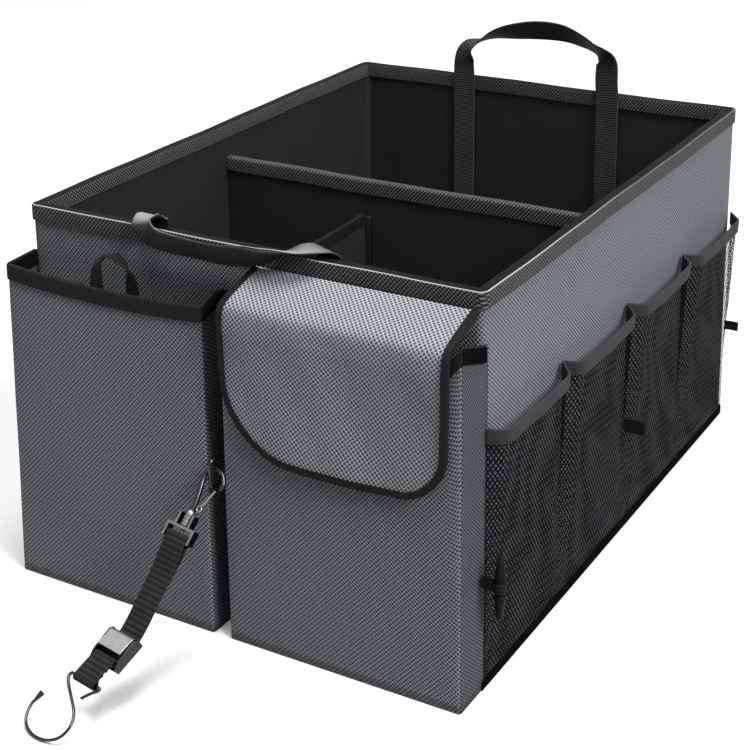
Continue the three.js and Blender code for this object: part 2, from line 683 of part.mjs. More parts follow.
// Handles: webbing sewn inside the front and back walls. The back one stands, and the front one
// lies over the rim and hangs in front of it.
const legY = rimY - SEAM_GAP - WEBBING / 2;
const legMiddle = (handleFoot + HEIGHT) / 2;
const backHandle = [
  { at: [-HANDLE_LEG_X, legY, handleFoot], side: [1, 0, 0] },
  { at: [-HANDLE_LEG_X, legY, legMiddle], side: [1, 0, 0] },
  { at: [-HANDLE_LEG_X, legY, HEIGHT], side: [1, 0, 0] },
  { at: [-HANDLE_LEG_X + 4, legY, backHandleShoulder], side: [1, 0, -0.35] },
  { at: [-HANDLE_LEG_X + 18, legY, backHandleTop - 13], side: [0.8, 0, -0.9] },
  { at: [-HANDLE_LEG_X + 42, legY, backHandleTop - 3], side: [0.25, 0, -1] },
  { at: [0, legY, backHandleTop], side: [0, 0, -1] },
  { at: [HANDLE_LEG_X - 42, legY, backHandleTop - 3], side: [-0.25, 0, -1] },
  { at: [HANDLE_LEG_X - 18, legY, backHandleTop - 13], side: [-0.8, 0, -0.9] },
  { at: [HANDLE_LEG_X - 4, legY, backHandleShoulder], side: [-1, 0, -0.35] },
  { at: [HANDLE_LEG_X, legY, HEIGHT], side: [-1, 0, 0] },
  { at: [HANDLE_LEG_X, legY, legMiddle], side: [-1, 0, 0] },
  { at: [HANDLE_LEG_X, legY, handleFoot], side: [-1, 0, 0] },
];
piece("handle_back", spread(webbing(backHandle, HANDLE_WIDTH, WEBBING, HANDLE_STEPS)), BLACK_TAPE, 0.8);

const frontOut = -(halfDepth + 10);
const leftLegX = -HANDLE_LEG_X - 4;
const rightLegX = HANDLE_LEG_X + 2;
const frontHandle = [
  { at: [leftLegX, -legY, handleFoot], side: [1, 0, 0] },
  { at: [leftLegX, -legY, legMiddle], side: [1, 0, 0] },
  { at: [leftLegX, -legY + 0.2, HEIGHT + 3], side: [1, 0, 0] },
  { at: [leftLegX + 1, -legY - 6, HEIGHT + 11], side: [1, 0, 0] },
  { at: [-62, frontOut - 1, HEIGHT + 4], side: [0.5, -0.6, 0.6] },
  { at: [-38, frontOut, HEIGHT - 4], side: [0, -0.58, 0.8] },
  { at: [-8, frontOut, HEIGHT - 6], side: [0, -0.58, 0.8] },
  { at: [22, frontOut - 2, HEIGHT + 2], side: [0, -0.65, 0.75] },
  { at: [48, frontOut - 4, HEIGHT + 9], side: [0, -0.8, 0.5] },
  { at: [66, frontOut + 5, HEIGHT + 14], side: [-0.5, -0.8, 0.1] },
  { at: [rightLegX, -legY - 2.5, HEIGHT + 12], side: [-1, 0, 0] },
  { at: [rightLegX, -legY + 0.2, HEIGHT + 3], side: [-1, 0, 0] },
  { at: [rightLegX, -legY, legMiddle], side: [-1, 0, 0] },
  { at: [rightLegX, -legY, handleFoot], side: [-1, 0, 0] },
];
piece("handle_front", spread(webbing(frontHandle, HANDLE_WIDTH, WEBBING, HANDLE_STEPS)), BLACK_TAPE, 0.8);

// Ring of the tie-down strap, upright in the gap between the pockets, and the tape that holds it
const strapBack = strapTop.clone().sub(strapFoot).setZ(0).normalize();
const halfRing = RING_HEIGHT / 2;
function ringShape(inset) {
  const half = halfRing - inset;
  const bend = RING_BEND - inset;
  const centre = RING_BEND - RING_WIRE / 2;
  const shape = new THREE.Shape();
  shape.moveTo(RING_REACH - inset, -half);
  shape.lineTo(RING_REACH - inset, half);
  shape.absarc(centre, half - bend, bend, 0.5 * Math.PI, Math.PI, false);
  shape.absarc(centre, bend - half, bend, Math.PI, 1.5 * Math.PI, false);
  return shape;
}
const ringPlate = ringShape(0);
ringPlate.holes.push(ringShape(RING_WIRE));
const upward = new THREE.Vector3(0, 0, 1);
const ringTurn = new THREE.Matrix4().makeBasis(strapBack, upward, strapBack.clone().cross(upward));
const ringBody = raised(ringPlate, -RING_WIRE / 2, RING_WIRE / 2).applyMatrix4(ringTurn);
piece("strap_ring", ringBody, BLACK_NICKEL, 0.3, 0.9).position.copy(strapTop);

const ringBar = strapTop.clone().addScaledVector(strapBack, RING_REACH - RING_WIRE / 2);
const ringEye = new THREE.Shape().absarc(ringBar.x, ringBar.y, RING_EYE + BINDING, 0, 2 * Math.PI, false);
ringEye.holes.push(new THREE.Path().absarc(ringBar.x, ringBar.y, RING_EYE, 0, 2 * Math.PI, true));
const ringTapeFoot = strapTop.z - RING_TAPE_HEIGHT / 2;
const ringTapeTop = strapTop.z + RING_TAPE_HEIGHT / 2;
const ringTapeRoot = -netWallY * spreadAt(ringTapeFoot);
const ringTape = join(
  raised(ringEye, ringTapeFoot, ringTapeTop),
  block(
    ringBar.x - BINDING,
    ringBar.x + BINDING,
    ringBar.y + RING_EYE + BINDING / 2,
    ringTapeRoot,
    ringTapeFoot,
    ringTapeTop,
  ),
);
piece("ring_tape", ringTape, BLACK_TAPE, 0.8);

// The strap's own frame: across it, up it towards the ring, and out of it
const strap = new THREE.Group();
const upStrap = strapTop.clone().sub(strapFoot).normalize();
const acrossStrap = upStrap.clone().cross(upward).normalize();
strap.applyMatrix4(new THREE.Matrix4().makeBasis(acrossStrap, upStrap, acrossStrap.clone().cross(upStrap)));
strap.position.copy(strapTop);
organizer.add(strap);

function partOfStrap(down, under, tilt) {
  const group = new THREE.Group();
  group.position.set(0, -down, -under);
  group.rotation.x = THREE.MathUtils.degToRad(tilt);
  strap.add(group);
  return group;
}
const snap = partOfStrap(0, 0, SNAP_TILT);
const buckle = partOfStrap(BUCKLE_DOWN, BUCKLE_UNDER, BUCKLE_TILT);
const endHook = partOfStrap(CROSSBAR_DOWN, CROSSBAR_UNDER, HOOK_TILT);

function metal(name, geometry, parent, color = BLACK_NICKEL) {
  return piece(name, geometry, color, 0.3, 0.9, parent);
}

// A disc or a rod standing on its axis, moved to a place
function rod(radius, length, sides, x, y, z) {
  return new THREE.CylinderGeometry(radius, radius, length, sides).translate(x, y, z);
}

// Snap hook, with the barrel it turns on and the lug for its gate
const snapWire = bar(
  [
    [0, -BARREL_TOP - 1, 0],
    [-0.4, -22, 0],
    [-2.2, -12, 0],
    [-4.2, -4, 0],
    [-4.1, 1, 0],
    [-1.8, 5, 0],
    [4, 6.2, 0],
    [10.6, 4, 0],
    [14.8, -1, 0],
    [15.2, -7.5, 0],
  ],
  HOOK_WIRE,
  24,
);
const barrelMiddle = -(BARREL_TOP + BARREL_BOTTOM) / 2;
const headTop = FRAME_SHOULDER + FRAME_BAR + RUNNING_GAP;
const lugShape = new THREE.Shape();
lugShape.moveTo(0, -GATE_DOWN - LUG_RADIUS);
lugShape.absarc(GATE_X, -GATE_DOWN, LUG_RADIUS, 1.5 * Math.PI, 0.5 * Math.PI, false);
lugShape.lineTo(0, -GATE_DOWN + LUG_RADIUS);
const lugBack = -GATE_WIRE / 2 - RUNNING_GAP;
const snapHook = join(
  snapWire,
  rod(BARREL_RADIUS, BARREL_BOTTOM - BARREL_TOP, 18, 0, barrelMiddle, 0),
  rod(SWIVEL_PIN, headTop + 1 - BARREL_BOTTOM, 12, 0, -(BARREL_BOTTOM + headTop) / 2, 0),
  rod(SWIVEL_HEAD, 1.2, 12, 0, -headTop - 0.6, 0),
  raised(lugShape, lugBack - LUG, lugBack),
  rod(GATE_PIN, GATE_WIRE + RUNNING_GAP + LUG, 12, 0, 0, 0)
    .rotateX(Math.PI / 2)
    .translate(GATE_X, -GATE_DOWN, -(RUNNING_GAP + LUG) / 2),
);
metal("snap_hook", snapHook, snap);

// Wire gate, closed against the hook's tip
const gateEye = new THREE.Shape().absarc(0, 0, GATE_PIN + RUNNING_GAP + GATE_WIRE, 0, 2 * Math.PI, false);
gateEye.holes.push(new THREE.Path().absarc(0, 0, GATE_PIN + RUNNING_GAP, 0, 2 * Math.PI, true));
const gateBody = join(
  raised(gateEye, -GATE_WIRE / 2, GATE_WIRE / 2),
  block(
    -GATE_WIRE / 2,
    GATE_WIRE / 2,
    GATE_PIN + RUNNING_GAP + GATE_WIRE / 2,
    GATE_LENGTH,
    -GATE_WIRE / 2,
    GATE_WIRE / 2,
  ),
);
const gate = metal("snap_gate", gateBody, snap);
gate.position.set(GATE_X, -GATE_DOWN, 0);
gate.rotation.z = -THREE.MathUtils.degToRad(GATE_LEAN);

// Stepped frame that carries the barrel and the upper webbing
const neck = FRAME_NECK / 2;
const shoulder = FRAME_WIDTH / 2;
const frameShape = polygon([
  [-neck, -FRAME_TOP],
  [-neck, -FRAME_SHOULDER],
  [-shoulder, -FRAME_SHOULDER],
  [-shoulder, -FRAME_BOTTOM],
  [-shoulder + FRAME_SHEET, -FRAME_BOTTOM],
  [-shoulder + FRAME_SHEET, -FRAME_SHOULDER - FRAME_BAR],
  [shoulder - FRAME_SHEET, -FRAME_SHOULDER - FRAME_BAR],
  [shoulder - FRAME_SHEET, -FRAME_BOTTOM],
  [shoulder, -FRAME_BOTTOM],
  [shoulder, -FRAME_SHOULDER],
  [neck, -FRAME_SHOULDER],
  [neck, -FRAME_TOP],
  [neck - FRAME_SHEET, -FRAME_TOP],
  [neck - FRAME_SHEET, -FRAME_SHOULDER],
  [-neck + FRAME_SHEET, -FRAME_SHOULDER],
  [-neck + FRAME_SHEET, -FRAME_TOP],
]);
const frameBody = join(
  cut(
    raised(frameShape, -FRAME_DEPTH / 2, FRAME_DEPTH / 2),
    rod(SWIVEL_PIN + RUNNING_GAP, 2 * FRAME_BAR, 12, 0, -FRAME_SHOULDER - FRAME_BAR / 2, 0),
  ),
  rod(STRAP_PIN, FRAME_WIDTH - FRAME_SHEET, 12, 0, 0, 0)
    .rotateZ(Math.PI / 2)
    .translate(0, -FRAME_PIN_DOWN, 0),
);
metal("swivel_frame", frameBody, snap);

// Webbing with a sewn eye at a pin: its side outline in the strap's frame, run over its width
const eyeInside = STRAP_PIN + RUNNING_GAP;
function strapPiece(points, eyes) {
  const line = new THREE.SplineCurve(points).getPoints(STRAP_STEPS);
  const halfStrap = STRAP_WIDTH / 2;
  const hollow = eyes.map(({ x, y }) => new THREE.Shape().absarc(x, y, eyeInside, 0, 2 * Math.PI, false));
  const round = eyes.map(({ x, y }) => {
    return new THREE.Shape().absarc(x, y, eyeInside + STRAP_WEB, 0, 2 * Math.PI, false);
  });
  const bodies = round.map((shape) => alongX(shape, -halfStrap, halfStrap));
  const made = join(alongX(stripOutline(line, STRAP_WEB), -halfStrap, halfStrap), ...bodies);
  return cut(made, ...hollow.map((shape) => alongX(shape, -STRAP_WIDTH, STRAP_WIDTH)));
}

// A place in one of the strap's groups as (up, out) of the strap
function inStrap(group, up, out) {
  const at = new THREE.Vector3(0, up, out).applyEuler(group.rotation).add(group.position);
  return new THREE.Vector2(at.y, at.z);
}
const framePin = inStrap(snap, -FRAME_PIN_DOWN, 0);
const upperLine = [
  inStrap(snap, -FRAME_PIN_DOWN - eyeInside - STRAP_WEB / 2, 0),
  inStrap(snap, -FRAME_PIN_DOWN - 10, -0.5),
  new THREE.Vector2(-76, -11.2),
  new THREE.Vector2(-97, -14.6),
  new THREE.Vector2(-112, -17.2),
  inStrap(buckle, 14, BUCKLE_WEB_OUT),
  inStrap(buckle, 5, BUCKLE_WEB_OUT),
  inStrap(buckle, -4, BUCKLE_WEB_OUT),
];
piece("strap_upper", strapPiece(upperLine, [framePin]), BLACK_TAPE, 0.8, 0, strap);
const bucklePin = inStrap(buckle, -BUCKLE_PIN_DOWN, BUCKLE_PIN_OUT);
const crossbar = inStrap(endHook, 0, 0);
const lowerWay = crossbar.clone().sub(bucklePin).normalize();
const lowerLine = [
  bucklePin.clone().addScaledVector(lowerWay, eyeInside + STRAP_WEB / 2),
  bucklePin.clone().lerp(crossbar, 0.5),
  crossbar.clone().addScaledVector(lowerWay, -eyeInside - STRAP_WEB / 2),
];
piece("strap_lower", strapPiece(lowerLine, [bucklePin, crossbar]), BLACK_TAPE, 0.8, 0, strap);

// Buckle: a folded channel with two pins, and the sprung lever that clamps the upper webbing
const halfBuckle = BUCKLE_WIDTH / 2;
const floorOut = BUCKLE_WEB_OUT - STRAP_WEB / 2 - 2 * RUNNING_GAP;
const earOutline = polygon([
  [-BUCKLE_LENGTH / 2, floorOut - BUCKLE_SHEET],
  [BUCKLE_LENGTH / 2, floorOut - BUCKLE_SHEET],
  [BUCKLE_LENGTH / 2, BUCKLE_EAR - 2.5],
  [BUCKLE_LENGTH / 2 - 3, BUCKLE_EAR],
  [-BUCKLE_LENGTH / 2 + 5, BUCKLE_EAR - 1.5],
  [-BUCKLE_LENGTH / 2, BUCKLE_EAR - 4],
]);
const buckleInside = halfBuckle - BUCKLE_SHEET;
const channel = cut(
  alongX(earOutline, -halfBuckle, halfBuckle),
  block(-buckleInside, buckleInside, -BUCKLE_LENGTH, BUCKLE_LENGTH, floorOut, 2 * BUCKLE_EAR),
);
const buckleBody = join(
  channel,
  rod(STRAP_PIN, BUCKLE_WIDTH - BUCKLE_SHEET, 12, 0, 0, 0)
    .rotateZ(Math.PI / 2)
    .translate(0, -BUCKLE_PIN_DOWN, BUCKLE_PIN_OUT),
  rod(LEVER_PIN, BUCKLE_WIDTH - BUCKLE_SHEET, 12, 0, 0, 0)
    .rotateZ(Math.PI / 2)
    .translate(0, LEVER_PIVOT, LEVER_RISE),
);
metal("buckle_frame", buckleBody, buckle);

const bossRadius = LEVER_RISE - (BUCKLE_WEB_OUT + STRAP_WEB / 2 + RUNNING_GAP);
const boss = new THREE.Shape().absarc(0, 0, bossRadius, 0, 2 * Math.PI, false);
const leverHalf = buckleInside - 2 * RUNNING_GAP;
const leverPlate = polygon([
  [0, bossRadius],
  [-LEVER_LENGTH, bossRadius + LEVER_LIFT],
  [-LEVER_LENGTH, bossRadius + LEVER_LIFT - LEVER_SHEET],
  [0, bossRadius - LEVER_SHEET],
]);
const leverHole = new THREE.Shape().absarc(0, 0, LEVER_PIN + RUNNING_GAP, 0, 2 * Math.PI, false);
const leverBody = cut(
  join(alongX(boss, -leverHalf, leverHalf), alongX(leverPlate, -leverHalf, leverHalf)),
  alongX(leverHole, -BUCKLE_WIDTH, BUCKLE_WIDTH),
);
metal("buckle_lever", leverBody, buckle, GREY_STEEL).position.set(0, LEVER_PIVOT, LEVER_RISE);

// Wire hook at the end, bent from one rod, with its thickened tip
const hookWire = bar(
  [
    [5.5, -12, 0],
    [10, -6.2, 0],
    [14.6, -1.6, 0],
    [14.2, 0, 0],
    [12.5, 0, 0],
    [0, 0, 0],
    [-12.5, 0, 0],
    [-15.4, -0.6, 0],
    [-15.4, -4, 0],
    [-11, -8.5, 0],
    [-2.6, -14.5, 0],
    [7.6, -22.5, 0],
    [11.9, -31, 0],
    [10, -40.5, 0],
    [1.6, -47, 0],
    [-10.7, -49, 0],
    [-21.5, -46, 0],
    [-27.2, -40, 0],
    [-29.2, -32, 0],
    [-28.6, -29, 0],
  ],
  HOOK_STEEL,
  72,
  8,
);
metal("wire_hook", hookWire, endHook);
const tipShape = [
  [0, 0],
  [TIP_RADIUS * 0.6, 0],
  [TIP_RADIUS, TIP_LENGTH],
  [0, TIP_LENGTH],
].map(([x, y]) => new THREE.Vector2(x, y));
const tip = metal("hook_tip", new THREE.LatheGeometry(tipShape, 12), endHook, BLACK_PLASTIC);
tip.position.set(-28.52, -28.6, 0);
tip.rotation.z = -0.2;

export default organizer;
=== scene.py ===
"""A folding car organizer: cloth, net, tape, webbing and strap fittings dressed onto its fixed frame."""

import math

import bmesh
import bpy
from mathutils import Matrix, Vector


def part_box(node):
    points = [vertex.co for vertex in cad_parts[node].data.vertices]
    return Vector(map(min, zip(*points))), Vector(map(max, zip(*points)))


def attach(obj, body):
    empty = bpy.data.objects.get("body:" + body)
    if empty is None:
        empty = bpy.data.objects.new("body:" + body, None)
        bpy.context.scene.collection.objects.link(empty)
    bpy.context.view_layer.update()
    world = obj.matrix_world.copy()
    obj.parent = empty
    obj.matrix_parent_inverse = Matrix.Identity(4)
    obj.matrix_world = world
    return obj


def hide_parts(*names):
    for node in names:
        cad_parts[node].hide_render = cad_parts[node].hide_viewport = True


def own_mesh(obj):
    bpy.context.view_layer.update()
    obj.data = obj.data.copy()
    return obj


bl_info = {
    "name": "Car Organizer",
    "version": (1, 0, 0),
    "blender": (4, 5, 0),
    "location": "3D View > Sidebar > Organizer",
    "description": "Builds the cloth, net, webbing and fittings of a folding car organizer",
    "category": "Object",
}

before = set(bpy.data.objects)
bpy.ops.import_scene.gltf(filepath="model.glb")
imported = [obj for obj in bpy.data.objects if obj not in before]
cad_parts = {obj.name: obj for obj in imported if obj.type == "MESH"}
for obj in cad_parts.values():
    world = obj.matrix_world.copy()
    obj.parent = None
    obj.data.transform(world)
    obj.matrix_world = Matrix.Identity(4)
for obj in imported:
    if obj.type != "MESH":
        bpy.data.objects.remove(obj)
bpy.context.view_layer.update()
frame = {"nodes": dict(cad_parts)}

MM = 0.001
# Edges that bend more than this many degrees stay sharp
SHARP_ANGLE = 40

# Places of the box's layers in millimetres at the rim, as half widths along X and half depths along Y
HEIGHT = 300
SPREAD = 0.035
HALF_WIDTH = 190
HALF_DEPTH = 247.5
SHELL_X = 188.5
SHELL_Y = 246
INSIDE_X = 182.7
INSIDE_Y = 240.2
RIM_X = 181.2
RIM_Y = 238.7
WALL_TOP = 298.5
SHELL_FOOT = 0.3
LINING_FOOT = 6.8
LINING_FLOOR = 6.9
DIVIDER_FOOT = 7.2
FOLDS = (-124, 0, 124)
# Along the rim tape's section: its outer side up to the fold that carries a painted highlight, and the width
# of its top
RIM_FOLD = 12.2
RIM_TOP = 8

MAIN_DIVIDER_TOP = 271
MAIN_DIVIDER_END = 182
FRONT_DIVIDER_X = -44
FRONT_DIVIDER_TOP = 240
POCKET_FRONT = 277.5
POCKET_TOP = 264
LEFT_POCKET = (-189, -12)
RIGHT_POCKET = (2, 189)
NET_START = -244
NET_POCKET = 122
NET_WALL_X = 188.8
NET_TOP = 204
NET_FOOT = 8.3
NET_BULGE = 13
NET_FOOT_SHARE = 0.15
NET_GUSSET = 8
NET_CURL = 16
FLAP_AXIS_Y = -248.55
FLAP_AXIS_Z = 286.95
FLAP_FACE_Y = -283.5
FLAP_BOTTOM = 165
FLAP_SHOULDER = 42
FLAP_LEFT = 6
FLAP_RIGHT = 182
FLAP_LEFT_RADIUS = 54
FLAP_RIGHT_RADIUS = 32
# How far the flap's foot hangs down in its middle, and the heights at which that and its
# narrowing start
FLAP_HANG = 6
FLAP_HANG_FROM = 250
FLAP_NARROW_FROM = 266
HANDLE_LEG_Y = 237.65
HANDLE_THICKNESS = 1.5

# The strap's line in millimetres, from the ring to the hook on the ground
STRAP_TOP = Vector((-5, -290, 138))
STRAP_FOOT = Vector((-37, -452, 2))
UP_STRAP = (STRAP_TOP - STRAP_FOOT).normalized()
ACROSS_STRAP = UP_STRAP.cross(Vector((0, 0, 1))).normalized()
OUT_OF_STRAP = ACROSS_STRAP.cross(UP_STRAP)
STRAP_WEB = 1.4
STRAP_WIDTH = 21.4
STRAP_PIN = 1.2
SEWN_TAIL = 32
WEBBING_STEP = 0.45

# Radii of the bars that the fittings are bent from, and the ring's outer size
RING_RADIUS = 1.3
SNAP_RADIUS = 2.0
GATE_RADIUS = 0.8
HOOK_RADIUS = 1.1
RING_WIDTH = 24
RING_DEPTH = 16
# The gate's pivot in the snap hook's group, and how many degrees the gate leans at rest
GATE_PIVOT = (5.4, -24.8, 0)
GATE_LEAN = 20


def spread_at(z):
    """How many times further out than at the rim the walls stand at a height in millimetres."""
    return 1 + SPREAD * (1 - z / HEIGHT)


def on_box(x, y, z):
    """A place on the spreading walls, given in millimetres at the rim, as a point in metres."""
    more = spread_at(z)
    return Vector((x * more, y * more, z)) * MM


def paint(red, green, blue):
    """A colour as a screen shows it, 0 to 255, as a linear colour."""
    channels = []
    for value in (red, green, blue):
        share = value / 255
        channels.append(share / 12.92 if share <= 0.04045 else ((share + 0.055) / 1.055) ** 2.4)
    return (*channels, 1.0)


def strap_frame(down=0, under=0, tilt=0):
    """The matrix of a group of fittings: so many millimetres down the strap's line and under it,
    and tilted out of it by so many degrees."""
    turn = Matrix.Rotation(math.radians(tilt), 4, "X")
    base = Matrix((ACROSS_STRAP, UP_STRAP, OUT_OF_STRAP)).transposed().to_4x4()
    base.translation = STRAP_TOP
    return base @ Matrix.Translation((0, -down, -under)) @ turn


SNAP = strap_frame(tilt=7.5)
BUCKLE = strap_frame(down=137, under=11.8, tilt=-13.7)
END_HOOK = strap_frame(down=165.5, under=4, tilt=-4.6)
STRAP = strap_frame()


class CarOrganizerColours(bpy.types.PropertyGroup):
    """Colours of the cloth, tape, net and metal."""

    cloth: bpy.props.FloatVectorProperty(
        name="Outer cloth",
        description="Colour of the woven grey cloth",
        subtype="COLOR",
        size=4,
        default=paint(103, 107, 111),
    )
    cloth_dot: bpy.props.FloatVectorProperty(
        name="Cloth dots",
        description="Colour of the dark dots between the threads",
        subtype="COLOR",
        size=4,
        default=paint(16, 18, 21),
    )
    lining: bpy.props.FloatVectorProperty(
        name="Lining",
        description="Colour of the coated lining",
        subtype="COLOR",
        size=4,
        default=paint(22, 22, 23),
    )
    tape: bpy.props.FloatVectorProperty(
        name="Tape",
        description="Colour of the binding tape and the webbing",
        subtype="COLOR",
        size=4,
        default=paint(30, 30, 31),
    )
    net: bpy.props.FloatVectorProperty(
        name="Net",
        description="Colour of the net's cords",
        subtype="COLOR",
        size=4,
        default=paint(26, 26, 28),
    )
    metal: bpy.props.FloatVectorProperty(
        name="Dark metal",
        description="Colour of the black nickel plate",
        subtype="COLOR",
        size=4,
        default=paint(56, 56, 58),
    )
    steel: bpy.props.FloatVectorProperty(
        name="Bright metal",
        description="Colour of the satin steel",
        subtype="COLOR",
        size=4,
        default=paint(150, 150, 151),
    )


class CarOrganizerSizes(bpy.types.PropertyGroup):
    """Sizes of what shows on the cloth and the webbing."""

    weave_pitch: bpy.props.FloatProperty(
        name="Weave pitch",
        description="Distance between two dots of the outer cloth",
        default=0.0035,
        unit="LENGTH",
    )
    net_pitch: bpy.props.FloatProperty(
        name="Net pitch",
        description="Distance between two openings of the net along a row",
        default=0.0037,
        unit="LENGTH",
    )
    tape_rib: bpy.props.FloatProperty(
        name="Tape rib",
        description="Distance between two ribs of the binding tape",
        default=0.0016,
        unit="LENGTH",
    )
    strap_rib: bpy.props.FloatProperty(
        name="Strap rib",
        description="Distance between two ribs of the tie-down strap, in millimetres",
        default=4.1,
    )
    cloth_wave: bpy.props.FloatProperty(
        name="Cloth wave",
        description="How far the stiffened walls wave, in millimetres",
        default=0.6,
    )
    pocket_sag: bpy.props.FloatProperty(
        name="Pocket sag",
        description="How far the pockets' top edges sag in the middle, in millimetres",
        default=3.8,
    )
    pocket_bulge: bpy.props.FloatProperty(
        name="Pocket bulge",
        description="How far the pockets' fronts bulge, in millimetres",
        default=2.5,
    )


def colours():
    return bpy.context.scene.organizer_colours


def sizes():
    return bpy.context.scene.organizer_sizes


# Shader node groups for effects that several finishes use


def node_group(name, inputs, outputs):
    """An empty shader node group with named sockets, its input and its output node."""
    group = bpy.data.node_groups.new(name, "ShaderNodeTree")
    for socket, kind, value in inputs:
        made = group.interface.new_socket(name=socket, in_out="INPUT", socket_type=kind)
        if value is not None:
            made.default_value = value
    for socket, kind in outputs:
        group.interface.new_socket(name=socket, in_out="OUTPUT", socket_type=kind)
    start = group.nodes.new("NodeGroupInput")
    end = group.nodes.new("NodeGroupOutput")
    return group, start, end


def link_outputs(group, end, **outputs):
    """Joins sockets to a node group's outputs by name."""
    for name, socket in outputs.items():
        group.links.new(socket, end.inputs[name])


def math_node(tree, operation, first, second=None, third=None, clamp=False):
    """A math node whose inputs are sockets or numbers; returns its output socket."""
    node = tree.nodes.new("ShaderNodeMath")
    node.operation = operation
    node.use_clamp = clamp
    for socket, value in zip(node.inputs, (first, second, third)):
        if value is None:
            continue
        if isinstance(value, (int, float)):
            socket.default_value = value
        else:
            tree.links.new(value, socket)
    return node.outputs[0]


def split(tree, vector):
    node = tree.nodes.new("ShaderNodeSeparateXYZ")
    tree.links.new(vector, node.inputs[0])
    return node.outputs


def build_weave_group():
    """Dark dots in rows, each row shifted half a pitch against the last, and light threads between."""
    group, start, end = node_group(
        "Dotted weave",
        [("Vector", "NodeSocketVector", None), ("Pitch", "NodeSocketFloat", 0.0034)],
        [("Mask", "NodeSocketFloat"), ("Height", "NodeSocketFloat")],
    )
    x, y, _ = split(group, start.outputs["Vector"])
    turn = math_node(group, "DIVIDE", 2 * math.pi, start.outputs["Pitch"])
    slanted = math_node(group, "MULTIPLY_ADD", y, 0.12, x)
    across = math_node(group, "COSINE", math_node(group, "MULTIPLY", slanted, turn))
    along = math_node(group, "COSINE", math_node(group, "MULTIPLY", y, turn))
    lattice = math_node(group, "MULTIPLY", across, along)
    mask = math_node(group, "MULTIPLY_ADD", lattice, 1.7, 0.15, clamp=True)
    height = math_node(group, "MULTIPLY_ADD", lattice, -0.5, 0.5, clamp=True)
    link_outputs(group, end, Mask=mask, Height=height)


def build_rib_group():
    """Ribs across a tape or webbing, at a pitch along it, with a fine thread line along it."""
    group, start, end = node_group(
        "Webbing ribs",
        [
            ("Vector", "NodeSocketVector", None),
            ("Pitch", "NodeSocketFloat", 0.0016),
            ("Thread", "NodeSocketFloat", 0.0008),
        ],
        [("Mask", "NodeSocketFloat"), ("Height", "NodeSocketFloat")],
    )
    x, y, _ = split(group, start.outputs["Vector"])
    along = math_node(group, "DIVIDE", x, start.outputs["Pitch"])
    across = math_node(group, "DIVIDE", y, start.outputs["Thread"])
    rib = math_node(group, "ABSOLUTE", math_node(group, "SINE", math_node(group, "MULTIPLY", along, math.pi)))
    thread = math_node(group, "SINE", math_node(group, "MULTIPLY", across, 2 * math.pi))
    height = math_node(group, "MULTIPLY_ADD", thread, 0.15, rib, clamp=True)
    link_outputs(group, end, Mask=rib, Height=height)


def build_net_group():
    """Rounded diamond openings in shifted rows: 1 on the net's cords, 0 in the openings."""
    group, start, end = node_group(
        "Open net",
        [
            ("Vector", "NodeSocketVector", None),
            ("Pitch", "NodeSocketFloat", 0.0037),
            ("Opening", "NodeSocketFloat", 0.3),
        ],
        [("Mask", "NodeSocketFloat"), ("Height", "NodeSocketFloat")],
    )
    x, y, _ = split(group, start.outputs["Vector"])
    across = math_node(group, "DIVIDE", x, start.outputs["Pitch"])
    along = math_node(group, "DIVIDE", y, math_node(group, "MULTIPLY", start.outputs["Pitch"], 1.5))
    cells = []
    for half in (0.0, 0.5):
        u = math_node(group, "FRACT", math_node(group, "ADD", across, half))
        v = math_node(group, "FRACT", math_node(group, "ADD", along, half))
        du = math_node(group, "ABSOLUTE", math_node(group, "SUBTRACT", u, 0.5))
        dv = math_node(group, "ABSOLUTE", math_node(group, "SUBTRACT", v, 0.5))
        cells.append(math_node(group, "ADD", du, dv))
    near = math_node(group, "MINIMUM", *cells)
    edge = math_node(group, "SUBTRACT", near, start.outputs["Opening"])
    mask = math_node(group, "MULTIPLY_ADD", edge, 16.0, 0.5, clamp=True)
    height = math_node(group, "MULTIPLY", near, 2.0, clamp=True)
    link_outputs(group, end, Mask=mask, Height=height)


def build_wear_group():
    """Large soft patches and fine grain, as one mask for colour and one for roughness."""
    group, start, end = node_group(
        "Patches and grain",
        [
            ("Vector", "NodeSocketVector", None),
            ("Patch", "NodeSocketFloat", 12.0),
            ("Grain", "NodeSocketFloat", 900.0),
        ],
        [("Patches", "NodeSocketFloat"), ("Grain", "NodeSocketFloat")],
    )
    for scale, output in (("Patch", "Patches"), ("Grain", "Grain")):
        noise = group.nodes.new("ShaderNodeTexNoise")
        noise.inputs["Detail"].default_value = 3.0
        group.links.new(start.outputs["Vector"], noise.inputs["Vector"])
        group.links.new(start.outputs[scale], noise.inputs["Scale"])
        group.links.new(noise.outputs["Fac"], end.inputs[output])


def use_group(tree, name, vector, **values):
    """Places a node group in a material and sets its named inputs."""
    node = tree.nodes.new("ShaderNodeGroup")
    node.node_tree = bpy.data.node_groups[name]
    tree.links.new(vector, node.inputs["Vector"])
    for socket, value in values.items():
        node.inputs[socket].default_value = value
    return node.outputs


def blank_finish(name):
    """A new material with its tree and its Principled shader."""
    material = bpy.data.materials.new(name)
    material.use_nodes = True
    tree = material.node_tree
    return material, tree, tree.nodes["Principled BSDF"]


def coordinate(tree, kind):
    return tree.nodes.new("ShaderNodeTexCoord").outputs[kind]


def mix_colours(tree, factor, first, second):
    """A colour between two, by a mask that changes over the surface."""
    node = tree.nodes.new("ShaderNodeMix")
    node.data_type = "RGBA"
    tree.links.new(factor, node.inputs["Factor"])
    for index, value in ((6, first), (7, second)):
        if isinstance(value, tuple):
            node.inputs[index].default_value = value
        else:
            tree.links.new(value, node.inputs[index])
    return node.outputs[2]


